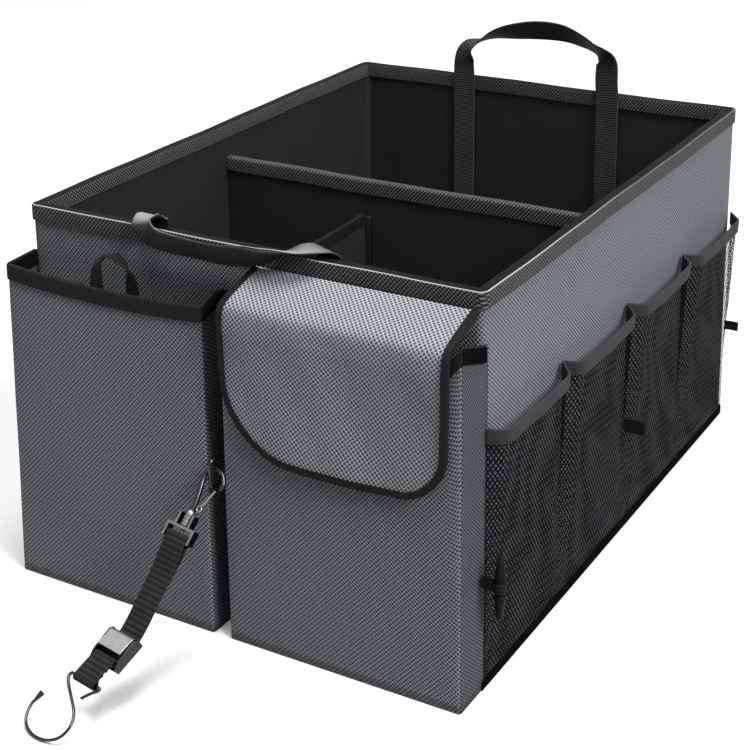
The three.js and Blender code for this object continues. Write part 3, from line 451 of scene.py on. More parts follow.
def bump(tree, shader, height, distance, strength=1.0):
    node = tree.nodes.new("ShaderNodeBump")
    node.inputs["Distance"].default_value = distance
    node.inputs["Strength"].default_value = strength
    tree.links.new(height, node.inputs["Height"])
    tree.links.new(node.outputs["Normal"], shader.inputs["Normal"])


def between(tree, factor, low, high):
    """A value that runs from low to high with a mask."""
    return math_node(tree, "MULTIPLY_ADD", factor, high - low, low)


def shade(colour, share):
    """The same colour, darker or lighter."""
    return (*(min(1.0, channel * share) for channel in tuple(colour)[:3]), 1.0)


def wear_masks(tree, patch, grain):
    return use_group(tree, "Patches and grain", coordinate(tree, "Object"), Patch=patch, Grain=grain)


def roughen(tree, shader, wear, low, high, specular=None):
    """Roughness between two values by the grain, and how strongly a dull surface mirrors."""
    tree.links.new(between(tree, wear["Grain"], low, high), shader.inputs["Roughness"])
    if specular is not None:
        shader.inputs["Specular IOR Level"].default_value = specular


def overlay(material, mask, colour):
    """Lays a colour over a finish where a mask is 1."""
    tree = material.node_tree
    base = tree.nodes["Principled BSDF"].inputs["Base Color"]
    tree.links.new(mix_colours(tree, mask, base.links[0].from_socket, colour), base)
    return material


def make_cloth(name, lighter=1.0):
    """Grey dotted twill, a little uneven and dusty, with a soft sheen."""
    material, tree, shader = blank_finish(name)
    uv = coordinate(tree, "UV")
    weave = use_group(tree, "Dotted weave", uv, Pitch=sizes().weave_pitch)
    wear = wear_masks(tree, 9.0, 1400.0)
    grey = colours().cloth
    # lighter scales the colours of a copy of the cloth: above 1 it is painted light on the flap, below 1
    # painted shade on the pocket gussets
    threads = mix_colours(tree, wear["Patches"], shade(grey, 0.86 * lighter), shade(grey, 1.14 * lighter))
    cloth = mix_colours(tree, weave["Mask"], threads, shade(colours().cloth_dot, lighter**3))
    tree.links.new(cloth, shader.inputs["Base Color"])
    roughen(tree, shader, wear, 0.72, 0.9, 0.15)
    bump(tree, shader, weave["Height"], 0.0004, 0.8)
    return material


def make_lining():
    """Coated black cloth with a faint square grid and soft wrinkles."""
    material, tree, shader = blank_finish("Coated lining")
    uv = coordinate(tree, "UV")
    wear = wear_masks(tree, 26.0, 1100.0)
    weave = use_group(tree, "Dotted weave", uv, Pitch=0.0034)
    tone = mix_colours(tree, wear["Patches"], shade(colours().lining, 0.75), shade(colours().lining, 1.3))
    tree.links.new(tone, shader.inputs["Base Color"])
    roughen(tree, shader, wear, 0.5, 0.68, 0.25)
    height = math_node(tree, "MULTIPLY_ADD", wear["Patches"], 6.0, weave["Height"])
    bump(tree, shader, height, 0.0003, 0.5)
    return material


def make_tape(name, pitch, colour, contrast=1.5, specular=0.06):
    """Ribbed black tape or webbing, lighter on its ribs: the rib pattern with a painted highlight on their
    crests.
    """
    material, tree, shader = blank_finish(name)
    uv = coordinate(tree, "UV")
    ribs = use_group(tree, "Webbing ribs", uv, Pitch=pitch, Thread=0.0011)
    wear = wear_masks(tree, 30.0, 1600.0)
    low = mix_colours(tree, wear["Patches"], shade(colour, 0.5), shade(colour, 0.75))
    # The rib crests are lighter: the rib pattern with a painted highlight
    high = mix_colours(tree, wear["Patches"], shade(colour, 0.95), shade(colour, contrast))
    tree.links.new(mix_colours(tree, ribs["Mask"], low, high), shader.inputs["Base Color"])
    roughen(tree, shader, wear, 0.5, 0.72, specular)
    bump(tree, shader, ribs["Height"], 0.0004, 0.8)
    return material


def make_webbing_with_painted_sheen(name, colour, height):
    """Black webbing with painted sheen: its upward faces above a height in metres are painted light."""
    material = make_tape(name, 0.0023, colour, 2.2)
    tree = material.node_tree
    _, _, up = split(tree, coordinate(tree, "Normal"))
    _, _, place = split(tree, coordinate(tree, "Object"))
    high = math_node(tree, "MULTIPLY", math_node(tree, "SUBTRACT", place, height), 250.0, clamp=True)
    facing = math_node(tree, "MULTIPLY_ADD", math_node(tree, "ABSOLUTE", up), 2.2, -0.9, clamp=True)
    # Painted sheen: upward faces above the height are painted light
    return overlay(material, math_node(tree, "MULTIPLY", high, facing), shade(colour, 8.0))


def make_dotted_tape(name, colour, rim=False):
    """Black tape woven with rows of light dots, brightened as painted highlights. On the rim its top is
    plain and darkened with painted shade, and its outer fold carries a painted highlight, most of all
    towards the front."""
    material, tree, shader = blank_finish(name)
    uv = coordinate(tree, "UV")
    dots = use_group(tree, "Dotted weave", uv, Pitch=0.0032)
    wear = wear_masks(tree, 30.0, 1600.0)
    ground = mix_colours(tree, wear["Patches"], shade(colour, 0.35), shade(colour, 0.7))
    shown = dots["Mask"]
    if rim:
        _, up, _ = split(tree, uv)
        past = math_node(tree, "SUBTRACT", up, RIM_FOLD * MM)
        before = math_node(tree, "SUBTRACT", (RIM_FOLD + RIM_TOP) * MM, up)
        top = math_node(tree, "MULTIPLY", math_node(tree, "MINIMUM", past, before), 1200.0, clamp=True)
        shown = math_node(tree, "SUBTRACT", shown, top, clamp=True)
    # The light dots: the weave's pattern, brightened as painted highlights on its threads
    tone = mix_colours(tree, shown, ground, shade(colour, 6.5))
    if rim:
        # Painted highlight along the outer fold, strongest towards the front
        fold_highlight = math_node(tree, "MULTIPLY_ADD", math_node(tree, "ABSOLUTE", past), -1500.0, 1.0, clamp=True)
        _, back, _ = split(tree, coordinate(tree, "Object"))
        near_front = math_node(tree, "MULTIPLY_ADD", back, -4.5, 0.05, clamp=True)
        fold_highlight = math_node(tree, "MULTIPLY", fold_highlight, between(tree, near_front, 0.2, 1.0))
        # Painted shade darkens the rim's top
        tone = mix_colours(tree, top, tone, shade(colour, 0.12))
        tone = mix_colours(tree, fold_highlight, tone, shade(colour, 22.0))
    tree.links.new(tone, shader.inputs["Base Color"])
    roughen(tree, shader, wear, 0.55, 0.75, 0.06)
    bump(tree, shader, dots["Height"], 0.0004, 0.8)
    return material


def make_net():
    """Knotted net whose openings let the wall behind show through."""
    material, tree, shader = blank_finish("Side net")
    uv = coordinate(tree, "UV")
    net = use_group(tree, "Open net", uv, Pitch=sizes().net_pitch, Opening=0.295)
    wear = wear_masks(tree, 20.0, 1500.0)
    tone = mix_colours(tree, wear["Patches"], shade(colours().net, 0.5), shade(colours().net, 1.0))
    # Painted shade: the cords darken towards their edges at the openings
    crown = math_node(tree, "POWER", net["Height"], 4.0)
    tone = mix_colours(tree, crown, shade(colours().net, 0.1), tone)
    tree.links.new(tone, shader.inputs["Base Color"])
    tree.links.new(net["Mask"], shader.inputs["Alpha"])
    roughen(tree, shader, wear, 0.6, 0.85, 0.0)
    bump(tree, shader, net["Height"], 0.0005, 0.6)
    return material


def make_metal(name, colour, rough_low, rough_high):
    """Plated metal with fine scratches and a little uneven polish."""
    material, tree, shader = blank_finish(name)
    wear = wear_masks(tree, 160.0, 2400.0)
    tone = mix_colours(tree, wear["Patches"], shade(colour, 0.75), shade(colour, 1.25))
    tree.links.new(tone, shader.inputs["Base Color"])
    roughen(tree, shader, wear, rough_low, rough_high)
    shader.inputs["Metallic"].default_value = 1.0
    bump(tree, shader, wear["Grain"], 0.00005, 0.25)
    return material


def make_metal_with_painted_reflection(name, colour, face):
    """Plated metal with a painted reflection: its faces that look out of the strap are painted lighter."""
    material = make_metal(name, colour, 0.2, 0.34)
    tree = material.node_tree
    facing = tree.nodes.new("ShaderNodeVectorMath")
    facing.operation = "DOT_PRODUCT"
    tree.links.new(coordinate(tree, "Normal"), facing.inputs[0])
    facing.inputs[1].default_value = OUT_OF_STRAP
    # Painted reflection on the faces that look out of the strap
    return overlay(material, math_node(tree, "GREATER_THAN", facing.outputs["Value"], 0.8), face)


def make_plain(name, colour, rough_low=0.4, rough_high=0.6, specular=0.2):
    """Moulded plastic or fibre board with a fine grain."""
    material, tree, shader = blank_finish(name)
    wear = wear_masks(tree, 60.0, 1800.0)
    tone = mix_colours(tree, wear["Patches"], shade(colour, 0.85), shade(colour, 1.15))
    tree.links.new(tone, shader.inputs["Base Color"])
    roughen(tree, shader, wear, rough_low, rough_high, specular)
    bump(tree, shader, wear["Grain"], 0.0001, 0.3)
    return material


def finish(name):
    return bpy.data.materials[name]


# Shared ways of making meshes. Lengths are in millimetres until a point is placed.


def add_piece(name, bm, material, body="box", nodes=()):
    """Makes an object of a bmesh, gives it its finish, and lets it ride on its body."""
    mesh = bpy.data.meshes.new(name)
    bm.to_mesh(mesh)
    bm.free()
    mesh.polygons.foreach_set("use_smooth", [True] * len(mesh.polygons))
    mesh.set_sharp_from_angle(angle=math.radians(SHARP_ANGLE))
    piece = bpy.data.objects.new(name, mesh)
    bpy.context.scene.collection.objects.link(piece)
    mesh.materials.append(material)
    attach(piece, body)
    if nodes:
        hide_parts(*nodes)
    return piece


def grid(columns, rows, place, uv, close_columns=False, close_rows=False):
    """A bmesh grid: place(column, row) gives each point in metres and uv(column, row) its cloth place."""
    bm = bmesh.new()
    layer = bm.loops.layers.uv.new("Cloth")
    bmesh.ops.create_grid(bm, x_segments=columns, y_segments=rows, size=0.5)
    steps = {}
    for vert in bm.verts:
        steps[vert] = (round((vert.co.x + 0.5) * columns), round((vert.co.y + 0.5) * rows))
    for face in bm.faces:
        for loop in face.loops:
            loop[layer].uv = uv(*steps[loop.vert])
    for vert, (column, row) in steps.items():
        vert.co = place(column, row)
    if close_columns or close_rows:
        bmesh.ops.remove_doubles(bm, verts=bm.verts, dist=1e-6)
    return bm


def close_ends(bm):
    """Fills the open ends of a tube and turns its faces outwards."""
    rims = [edge for edge in bm.edges if edge.is_boundary]
    if rims:
        bmesh.ops.holes_fill(bm, edges=rims, sides=0)
    bmesh.ops.recalc_face_normals(bm, faces=bm.faces)
    return bm


def joined(parts):
    """One bmesh out of several."""
    whole = bmesh.new()
    for part in parts:
        mesh = bpy.data.meshes.new("part")
        part.to_mesh(mesh)
        part.free()
        whole.from_mesh(mesh)
        bpy.data.meshes.remove(mesh)
    return whole


def distances(points):
    """How far along a line each of its points lies."""
    found = [0.0]
    for first, second in zip(points, points[1:]):
        found.append(found[-1] + math.dist(first, second))
    return found


def direction(line, index):
    """Which way a line runs at one of its points."""
    return (line[min(index + 1, len(line) - 1)] - line[max(index - 1, 0)]).normalized()


def round_corner(before, here, after, radius, pieces=4):
    """Points on a soft curve that takes the place of a corner."""
    start = here + (before - here).normalized() * radius
    end = here + (after - here).normalized() * radius
    shares = [step / pieces for step in range(pieces + 1)]
    return [start.lerp(here, share).lerp(here.lerp(end, share), share) for share in shares]


def rounded(corners, radius, closed, pieces=4):
    """A line in plan through corners, each turned round on a radius."""
    points = []
    count = len(corners)
    for index, corner in enumerate(corners):
        here = Vector(corner)
        if not closed and index in (0, count - 1):
            points.append(here)
            continue
        before = Vector(corners[index - 1])
        after = Vector(corners[(index + 1) % count])
        points += round_corner(before, here, after, radius, pieces)
    if closed:
        points.append(points[0].copy())
    return points


def stops(points, step):
    """Points along a line no further apart than step, as (place, outward normal, distance)."""
    found = []
    travelled = 0.0
    for first, second in zip(points, points[1:]):
        length = (second - first).length
        parts = max(1, math.ceil(length / step))
        for part in range(parts):
            found.append((first.lerp(second, part / parts), travelled + length * part / parts))
        travelled += length
    found.append((points[-1].copy(), travelled))
    closed = (points[0] - points[-1]).length < 1e-6
    result = []
    last = len(found) - 1
    for index, (place, distance) in enumerate(found):
        before = found[index - 1 if index else (last - 1 if closed else 0)][0]
        after = found[index + 1 if index < last else (1 if closed else last)][0]
        along = (after - before).normalized()
        result.append((place, Vector((along.y, -along.x)), distance))
    return result


def smooth_line(points, steps):
    """A Catmull-Rom line through points of any size, as steps + 1 points."""
    result = []
    count = len(points) - 1
    for step in range(steps + 1):
        at = step / steps * count
        index = min(int(at), count - 1)
        t = at - index
        p0 = points[max(index - 1, 0)]
        p1 = points[index]
        p2 = points[index + 1]
        p3 = points[min(index + 2, count)]
        lead = p1 * 2 + (p2 - p0) * t
        curve = (p0 * 2 - p1 * 5 + p2 * 4 - p3) * t * t
        turn = (p1 * 3 - p0 - p2 * 3 + p3) * t * t * t
        result.append((lead + curve + turn) * 0.5)
    return result


def ribbon(line, sides, width, thickness, swell=None):
    """Webbing along a line in millimetres: sides gives the way its width runs at each point, and
    swell(distance) how much thicker it is there."""
    half = width / 2
    thick = thickness / 2
    inset = min(thick, 0.8)
    section = [(-half, -thick + inset), (-half + inset, -thick), (-half / 3, -thick), (half / 3, -thick)]
    section += [(half - inset, -thick), (half, -thick + inset), (half, thick - inset)]
    section += [(half - inset, thick), (half / 3, thick), (-half / 3, thick), (-half + inset, thick)]
    section += [(-half, thick - inset), (-half, -thick + inset)]
    around = distances(section)
    travelled = distances(line)
    frames = []
    for index, point in enumerate(line):
        along = direction(line, index)
        side = sides[index] - along * sides[index].dot(along)
        side.normalize()
        frames.append((point, side, side.cross(along)))

    def place(column, row):
        point, side, face = frames[column]
        a, b = section[row]
        if swell:
            b *= swell(travelled[column])
        return (point + side * a + face * b) * MM

    def uv(column, row):
        return (travelled[column] * MM, around[row] * MM)

    return close_ends(grid(len(line) - 1, len(section) - 1, place, uv, close_rows=True))


def upright_ribbon(line, width, thickness):
    """Webbing along a level line in millimetres, with its width upright."""
    return ribbon(line, [Vector((0, 0, 1))] * len(line), width, thickness)


def round_bar(line, radius, sides=14, taper=None):
    """A round bar along a line in millimetres, with closed ends."""
    normal = Vector((0, 0, 1))
    frames = []
    for index, point in enumerate(line):
        along = direction(line, index)
        if abs(normal.dot(along)) > 0.95 and index == 0:
            normal = Vector((1, 0, 0))
        normal = (normal - along * normal.dot(along)).normalized()
        frames.append((point, normal.copy(), along.cross(normal)))

    def place(column, row):
        point, first, second = frames[column]
        size = radius * (taper(column / (len(line) - 1)) if taper else 1)
        angle = 2 * math.pi * row / sides
        return (point + first * math.cos(angle) * size + second * math.sin(angle) * size) * MM

    bm = grid(len(line) - 1, sides, place, lambda c, r: (c * MM, r * MM), close_rows=True)
    return close_ends(bm)


def turned(profile, steps=32):
    """A turned piece about Z from (radius, height) points in millimetres that start and end on the axis."""
    bm = bmesh.new()
    verts = [bm.verts.new(Vector((radius, 0, height)) * MM) for radius, height in profile]
    edges = [bm.edges.new(pair) for pair in zip(verts, verts[1:])]
    bmesh.ops.spin(
        bm,
        geom=verts + edges,
        cent=(0, 0, 0),
        axis=(0, 0, 1),
        angle=2 * math.pi,
        steps=steps,
        use_merge=True,
    )
    bmesh.ops.remove_doubles(bm, verts=bm.verts, dist=1e-7)
    bmesh.ops.recalc_face_normals(bm, faces=bm.faces)
    return bm


def moved(bm, matrix):
    """Moves a bmesh in metres by a matrix in millimetres."""
    metric = matrix.copy()
    metric.translation = matrix.translation * MM
    bmesh.ops.transform(bm, matrix=metric, verts=bm.verts)
    return bm


def thicken(piece, thickness, offset=-1.0):
    """Gives a cloth sheet its thickness in millimetres."""
    solidify = piece.modifiers.new("Cloth thickness", "SOLIDIFY")
    solidify.thickness = thickness * MM
    solidify.offset = offset


def fold_section(half, depth, thickness, arc=5, bend=2.4):
    """The section of a tape folded over an edge, as (outwards, up) points, closed."""
    section = [(half, -depth)]
    bend = min(half, bend)
    for start, centre in ((0, half - bend), (math.pi / 2, bend - half)):
        for step in range(arc + 1):
            angle = start + math.pi / 2 * step / arc
            section.append((centre + bend * math.cos(angle), -bend + bend * math.sin(angle)))
    inner = half - thickness
    section += [(-half, -depth), (-inner, -depth), (-inner, -thickness), (inner, -thickness), (inner, -depth)]
    section.append(section[0])
    return section


def folded_tape(stations, section, place_at, closed):
    """Tape folded over an edge. stations are the stops of the edge, and place_at(point, normal,
    distance, out, up) gives a point of its section there in metres."""
    around = distances(section)

    def place(column, row):
        point, normal, distance = stations[column]
        out, up = section[row]
        return place_at(point, normal, distance, out, up)

    def uv(column, row):
        return (stations[column][2] * MM, around[row] * MM)

    bm = grid(len(stations) - 1, len(section) - 1, place, uv, closed, True)
    return close_ends(bm)


def wave(distance, size, length, phase=0.0):
    """A slow uneven wave along a piece of cloth."""
    first = math.sin(2 * math.pi * distance / length + phase)
    second = math.sin(2 * math.pi * distance / (length * 0.37) + 2.1 * phase + 1.3)
    return size * (0.65 * first + 0.35 * second)


def crease(distance, width):
    """How deep a sewn fold is at a distance from its middle, from 0 to 1."""
    return math.exp(-((distance / width) ** 2))


# The box


def fold_depth(x, y):
    """How deep the side walls' folds are at a place in plan, from 0 to 1."""
    if abs(x) < RIM_X - 3:
        return 0.0
    return sum(crease(y - fold, 3.0) for fold in FOLDS)


def wall_stops(half_x, half_y, radius, step=9):
    """Stops round the box in plan, closer together at the folds."""
    corners = [(-half_x, -half_y), (half_x, -half_y)]
    corners += [(half_x, fold + shift) for fold in FOLDS for shift in (-5, -2.5, 0, 2.5, 5)]
    corners += [(half_x, half_y), (-half_x, half_y)]
    corners += [(-half_x, fold + shift) for fold in reversed(FOLDS) for shift in (5, 2.5, 0, -2.5, -5)]
    line = []
    for index, corner in enumerate(corners):
        if abs(abs(corner[1]) - half_y) > 1e-6:
            line.append(Vector(corner))
            continue
        before = Vector(corners[index - 1])
        after = Vector(corners[(index + 1) % len(corners)])
        line += round_corner(before, Vector(corner), after, radius)
    line.append(line[0].copy())
    return stops(line, step)


def wall_sheet(half_x, half_y, foot, top):
    """The four walls as one sheet round the box, with its folds pressed in."""
    around = wall_stops(half_x, half_y, 6)
    levels = 26

    def place(column, row):
        point, normal, distance = around[column]
        z = foot + (top - foot) * row / levels
        share = math.sin(math.pi * row / levels)
        loose = wave(distance, sizes().cloth_wave * share, 210, z / 90) - sizes().cloth_wave * share
        out = normal * (loose - 0.5 * fold_depth(point.x, point.y))
        return on_box(point.x + out.x, point.y + out.y, z)

    def uv(column, row):
        return (around[column][2] * MM, (foot + (top - foot) * row / levels) * MM)

    return grid(len(around) - 1, levels, place, uv, close_columns=True)


def floor_sheet(half_x, half_y, z, wave_size):
    """A floor with rounded corners that waves a little."""
    columns = 40
    rows = 52

    def place(column, row):
        x = half_x * (2 * column / columns - 1)
        y = half_y * (2 * row / rows - 1)
        edge = min(1.0, (half_x - abs(x)) / 20, (half_y - abs(y)) / 20)
        lift = wave(x + 0.6 * y, wave_size, 150) * max(edge, 0)
        return on_box(x, y, z + lift)

    def uv(column, row):
        return (column / columns * 2 * half_x * MM, row / rows * 2 * half_y * MM)

    return grid(columns, rows, place, uv)


class ORGANIZER_OT_shell(bpy.types.Operator):
    """Outer cloth, lining and the boards between them"""

    bl_idname = "organizer.shell"
    bl_label = "Shell and lining"

    def execute(self, context):
        bottom = floor_sheet(SHELL_X - 0.5, SHELL_Y - 0.5, SHELL_FOOT + 1, 0)
        outer = joined([wall_sheet(SHELL_X, SHELL_Y, SHELL_FOOT, WALL_TOP), bottom])
        shell = add_piece("outer_cloth", outer, finish("Grey twill"), "box", ["outer_shell"])
        thicken(shell, 1.0)
        walls = wall_sheet(INSIDE_X + 0.3, INSIDE_Y + 0.3, LINING_FOOT, WALL_TOP - 1)
        inner = joined([walls, floor_sheet(INSIDE_X, INSIDE_Y, LINING_FLOOR, 0.3)])
        lining = add_piece("lining_cloth", inner, finish("Coated lining"), "box", ["lining"])
        thicken(lining, 0.6, 1.0)
        for name, node in frame["nodes"].items():
            if "board" in name:
                dress(node, finish("Fibre board"))
        return {"FINISHED"}


def dress(node, material, bevel=0.0):
    """Gives a CAD node its finish and, where it shows, soft edges."""
    node.data.materials.clear()
    node.data.materials.append(material)
    if bevel:
        weld = node.modifiers.new("Merge corners", "WELD")
        weld.merge_threshold = 1e-6
        soft = node.modifiers.new("Soft edges", "BEVEL")
        soft.width = bevel * MM
        soft.segments = 2
        soft.limit_method = "ANGLE"
        soft.angle_limit = math.radians(35)


def rim_place(centre_z, dip=0.0, phase=0.0):
    """Places a folded tape's points: out from an edge in plan, and up from its height."""

    def place(point, normal, distance, out, up):
        slack = wave(distance, dip, 260, phase)
        x = point.x + normal.x * out
        y = point.y + normal.y * out
        return on_box(x, y, centre_z + up + slack)

    return place


class ORGANIZER_OT_bindings(bpy.types.Operator):
    """Tape over the rim and round the foot"""

    bl_idname = "organizer.bindings"
    bl_label = "Rim and foot tape"

    def execute(self, context):
        middle_x = (HALF_WIDTH + RIM_X) / 2
        middle_y = (HALF_DEPTH + RIM_Y) / 2
        half = (HALF_WIDTH - RIM_X) / 2
        around = wall_stops(middle_x, middle_y, 2.2, 7)
        section = fold_section(half, 12, 1.1, 4, 1.2)
        rim = folded_tape(around, section, rim_place(HEIGHT - 0.7, 0.5), True)
        add_piece("rim_tape", rim, finish("Rim tape"), "box", ["rim_binding"])
        side = HALF_WIDTH - 0.6
        back = HALF_DEPTH - 0.6
        line = rounded([(-side, -SHELL_Y), (-side, back), (side, back), (side, -SHELL_Y)], 4, False)
        band = [(0.55, 0.2), (-0.4, 0.2), (-0.55, 4), (-0.4, 7.9), (0.55, 7.9), (0.55, 0.2)]
        foot = folded_tape(stops(line, 12), band, rim_place(0), False)
        add_piece("foot_tape", foot, finish("Foot tape"), "box", ["base_binding"])
        return {"FINISHED"}


def slab(x0, x1, y0, y1, z0, z1, bulge=0.0, columns=30):
    """A cloth-covered panel with a round top edge, in millimetres on the spreading box."""
    rows = 16
    width = x1 - x0
    depth = y1 - y0
    thick = min(width, depth)
    along_x = width > depth
    half = thick / 2
    angles = [math.pi * step / 12 for step in range(13)]
    heights = [z0 + (z1 - half - z0) * row / rows for row in range(rows + 1)]
    loop = [(half, z) for z in heights[:-1]]
    loop += [(half * math.cos(angle), z1 - half + half * math.sin(angle)) for angle in angles]
    loop += [(-half, z) for z in reversed(heights[:-1])]
    travelled = distances(loop)
    long_side = max(width, depth)

    def place(column, row):
        share = column / columns
        out, z = loop[row]
        swell = 1 + bulge * math.sin(math.pi * share) * math.sin(math.pi * min(1, (z - z0) / (z1 - z0)))
        lean = wave(share * 400 + z, 0.5, 320) * math.sin(math.pi * share)
        if along_x:
            return on_box(x0 + width * share, (y0 + y1) / 2 + out * swell + lean, z)
        return on_box((x0 + x1) / 2 + out * swell + lean, y0 + depth * share, z)

    def uv(column, row):
        return (column / columns * long_side * MM, travelled[row] * MM)

    return close_ends(grid(columns, len(loop) - 1, place, uv))


class ORGANIZER_OT_dividers(bpy.types.Operator):
    """Main divider with its tape, and the thin front divider"""

    bl_idname = "organizer.dividers"
    bl_label = "Dividers"

    def execute(self, context):
        end = MAIN_DIVIDER_END
        main = slab(-end, end, -2.4, 2.4, DIVIDER_FOOT, MAIN_DIVIDER_TOP - 1.8, 0.1)
        add_piece("main_divider_panel", main, finish("Coated lining"), "box", ["main_divider"])
        line = [Vector((0.4 - end, 0)), Vector((end - 0.4, 0))]
        over = rim_place(MAIN_DIVIDER_TOP - 0.6, 0.5, 0.8)
        tape = folded_tape(stops(line, 8), fold_section(3.9, 12, 1.1), over, False)
        add_piece("main_divider_tape", tape, finish("Divider tape"), "box", ["main_divider_binding"])
        middle = FRONT_DIVIDER_X
        top = FRONT_DIVIDER_TOP
        leaf = slab(middle - 1.4, middle + 1.4, -239.6, -4.4, DIVIDER_FOOT, top, 0.2, 24)
        flange = slab(middle - 6.8, middle + 6.8, -4.3, -2.9, DIVIDER_FOOT + 0.2, top - 1, 0, 8)
        bend = [Vector((middle, -239.4)), Vector((middle, -4.6))]
        hem = folded_tape(stops(bend, 8), fold_section(1.9, 10, 0.4), rim_place(top + 0.6, 0.4, 2.0), False)
        thin = joined([leaf, flange])
        add_piece("front_divider_leaf", thin, finish("Coated lining"), "box", ["front_divider"])
        add_piece("front_divider_hem", hem, finish("Soft tape"), "box")
        return {"FINISHED"}


# Front pockets and the flap


def shade_gussets(piece, material):
    """Gives the faces that look sideways a second finish with painted shade."""
    piece.data.materials.append(material)
    for face in piece.data.polygons:
        if abs(face.normal.x) > 0.7:
            face.material_index = 1


def clamped(share):
    return min(max(share, 0.0), 1.0)


def pocket_route(x0, x1, reach=1.0):
    """The plan of a pocket's gussets and front; its outer gusset runs a distance past the front wall."""
    outer = (LEFT_POCKET[0], RIGHT_POCKET[1])
    ends = [-SHELL_Y + (reach if x in outer else 1) for x in (x0, x1)]
    corners = [(x0, ends[0]), (x0, -POCKET_FRONT), (x1, -POCKET_FRONT), (x1, ends[1])]
    return stops(rounded(corners, 2.5, False), 7)


def forward_share(point):
    """How far out a place on a gusset lies, from 0 at the box to 1 at the pocket's front."""
    return clamped((-point.y - SHELL_Y) / (POCKET_FRONT - SHELL_Y))


def pocket_top(point, x0, x1):
    """Height of a pocket's top edge. It sags along the front. The right pocket's outer corner
    stands up, and the left pocket's inner gusset stands up in its middle."""
    share = clamped((point.x - x0) / (x1 - x0))
    top = POCKET_TOP - sizes().pocket_sag * math.sin(math.pi * share) ** 0.65
    forward = forward_share(point)
    rise = 11 * forward if x1 == RIGHT_POCKET[1] else 5 * math.sin(math.pi * forward)
    return top + rise * crease(point.x - x1, 4)


def pocket_push(point, z, x0, x1):
    """How far a pocket's front bulges or waves at a place."""
    if point.y > -POCKET_FRONT + 4:
        tall = math.sin(math.pi * min(1.0, z / POCKET_TOP))
        return -1.1 * tall * math.sin(math.pi * forward_share(point))
    share = clamped((point.x - x0) / (x1 - x0))
    tall = math.sin(math.pi * min(1.0, z / (POCKET_TOP + 40)))
    bulge = sizes().pocket_bulge * tall * math.sin(math.pi * share) ** 0.7
    return bulge + wave(point.x + z * 0.4, 0.35 * tall, 120)


def pocket_flare(point, z, x0):
    """How far the left pocket's outer gusset stands in at the top and flares out at the foot."""
    if x0 != LEFT_POCKET[0]:
        return 0.0
    return (2.2 - 7.2 * (1 - z / POCKET_TOP)) * forward_share(point) * crease(point.x - x0, 70)


def pocket(name, label, x0, x1):
    """One front pocket: its cloth, its floor and the tape over its edge."""
    around = pocket_route(x0, x1, 5.5)
    levels = 34

    def place(column, row):
        point, normal, _ = around[column]
        top = pocket_top(point, x0, x1) - 1.5
        z = SHELL_FOOT + (top - SHELL_FOOT) * row / levels
        out = normal * pocket_push(point, z, x0, x1)
        return on_box(point.x + out.x + pocket_flare(point, z, x0), point.y + out.y, z)

    def uv(column, row):
        return (around[column][2] * MM, POCKET_TOP * row / levels * MM)

    walls = grid(len(around) - 1, levels, place, uv)

    def floor_place(column, row):
        x = x0 + 0.6 + (x1 - x0 - 1.2) * column / 20
        y = -POCKET_FRONT + 0.6 + (POCKET_FRONT - SHELL_Y - 1.2) * row / 4
        return on_box(x + pocket_flare(Vector((x, y)), 0, x0), y, 0.4)

    floor = grid(20, 4, floor_place, lambda c, r: (c * 9 * MM, r * 7 * MM))
    bmesh.ops.reverse_faces(floor, faces=floor.faces)
    cloth = add_piece(f"{label}_cloth", joined([walls, floor]), finish("Grey twill"), "box", [name])
    thicken(cloth, 1.0)
    shade_gussets(cloth, finish("Shaded twill"))
    section = fold_section(2.1, 12, 0.9)

    def tape_place(point, normal, _, out, up):
        top = pocket_top(point, x0, x1)
        push = pocket_push(point, top + up, x0, x1)
        reach = out - 0.6 + push
        flare = pocket_flare(point, top, x0)
        return on_box(point.x + normal.x * reach + flare, point.y + normal.y * reach, top + up - 0.5)

    tape = folded_tape(pocket_route(x0, x1), section, tape_place, False)
    binding = add_piece(f"{label}_tape", tape, finish("Soft tape"), "box", [f"{name}_binding"])
    shade_gussets(binding, finish("Shaded tape"))


class ORGANIZER_OT_pockets(bpy.types.Operator):
    """The two front pockets and the webbing loop"""

    bl_idname = "organizer.pockets"
    bl_label = "Front pockets"

    def execute(self, context):
        pocket("front_pocket_left", "left_pocket", *LEFT_POCKET)
        pocket("front_pocket_right", "right_pocket", *RIGHT_POCKET)
        stations = [
            ((-105.5, -274.6, 244), (1, 0, 0)),
            ((-105.5, -274.6, 262), (1, 0, 0)),
            ((-103.5, -274, 275), (0.9, -0.4, 0.2)),
            ((-96, -272.6, 283), (0.5, -0.8, 0.3)),
            ((-88, -271.4, 282.6), (0.4, -0.9, -0.1)),
            ((-79.5, -270.6, 274), (0.8, -0.5, -0.2)),
            ((-76.5, -270.4, 262), (1, 0, 0)),
            ((-76.5, -270.4, 244), (1, 0, 0)),
        ]
        add_piece("pocket_loop_webbing", handle(stations, 12), finish("Soft tape"), "box", ["pocket_loop"])
        return {"FINISHED"}


def flap_line():
    """The flap's section in (y, z) from its root to its hanging edge."""
    points = [
        Vector((FLAP_AXIS_Y, FLAP_AXIS_Z)),
        Vector((FLAP_AXIS_Y - 11, FLAP_AXIS_Z - 5)),
        Vector((FLAP_AXIS_Y - 22, FLAP_AXIS_Z - 10.5)),
        Vector((FLAP_FACE_Y + 4, FLAP_AXIS_Z - 16)),
        Vector((FLAP_FACE_Y + 0.8, FLAP_AXIS_Z - 22)),
        Vector((FLAP_FACE_Y, FLAP_AXIS_Z - 34)),
    ]
    line = smooth_line(points, 32)
    knee = line[-1].y
    count = 36
    for step in range(1, count + 1):
        share = math.sin(math.pi / 2 * step / count)
        out = 1.2 * math.sin(math.pi * share)
        line.append(Vector((FLAP_FACE_Y + out, knee - (knee - FLAP_BOTTOM) * share)))
    return line


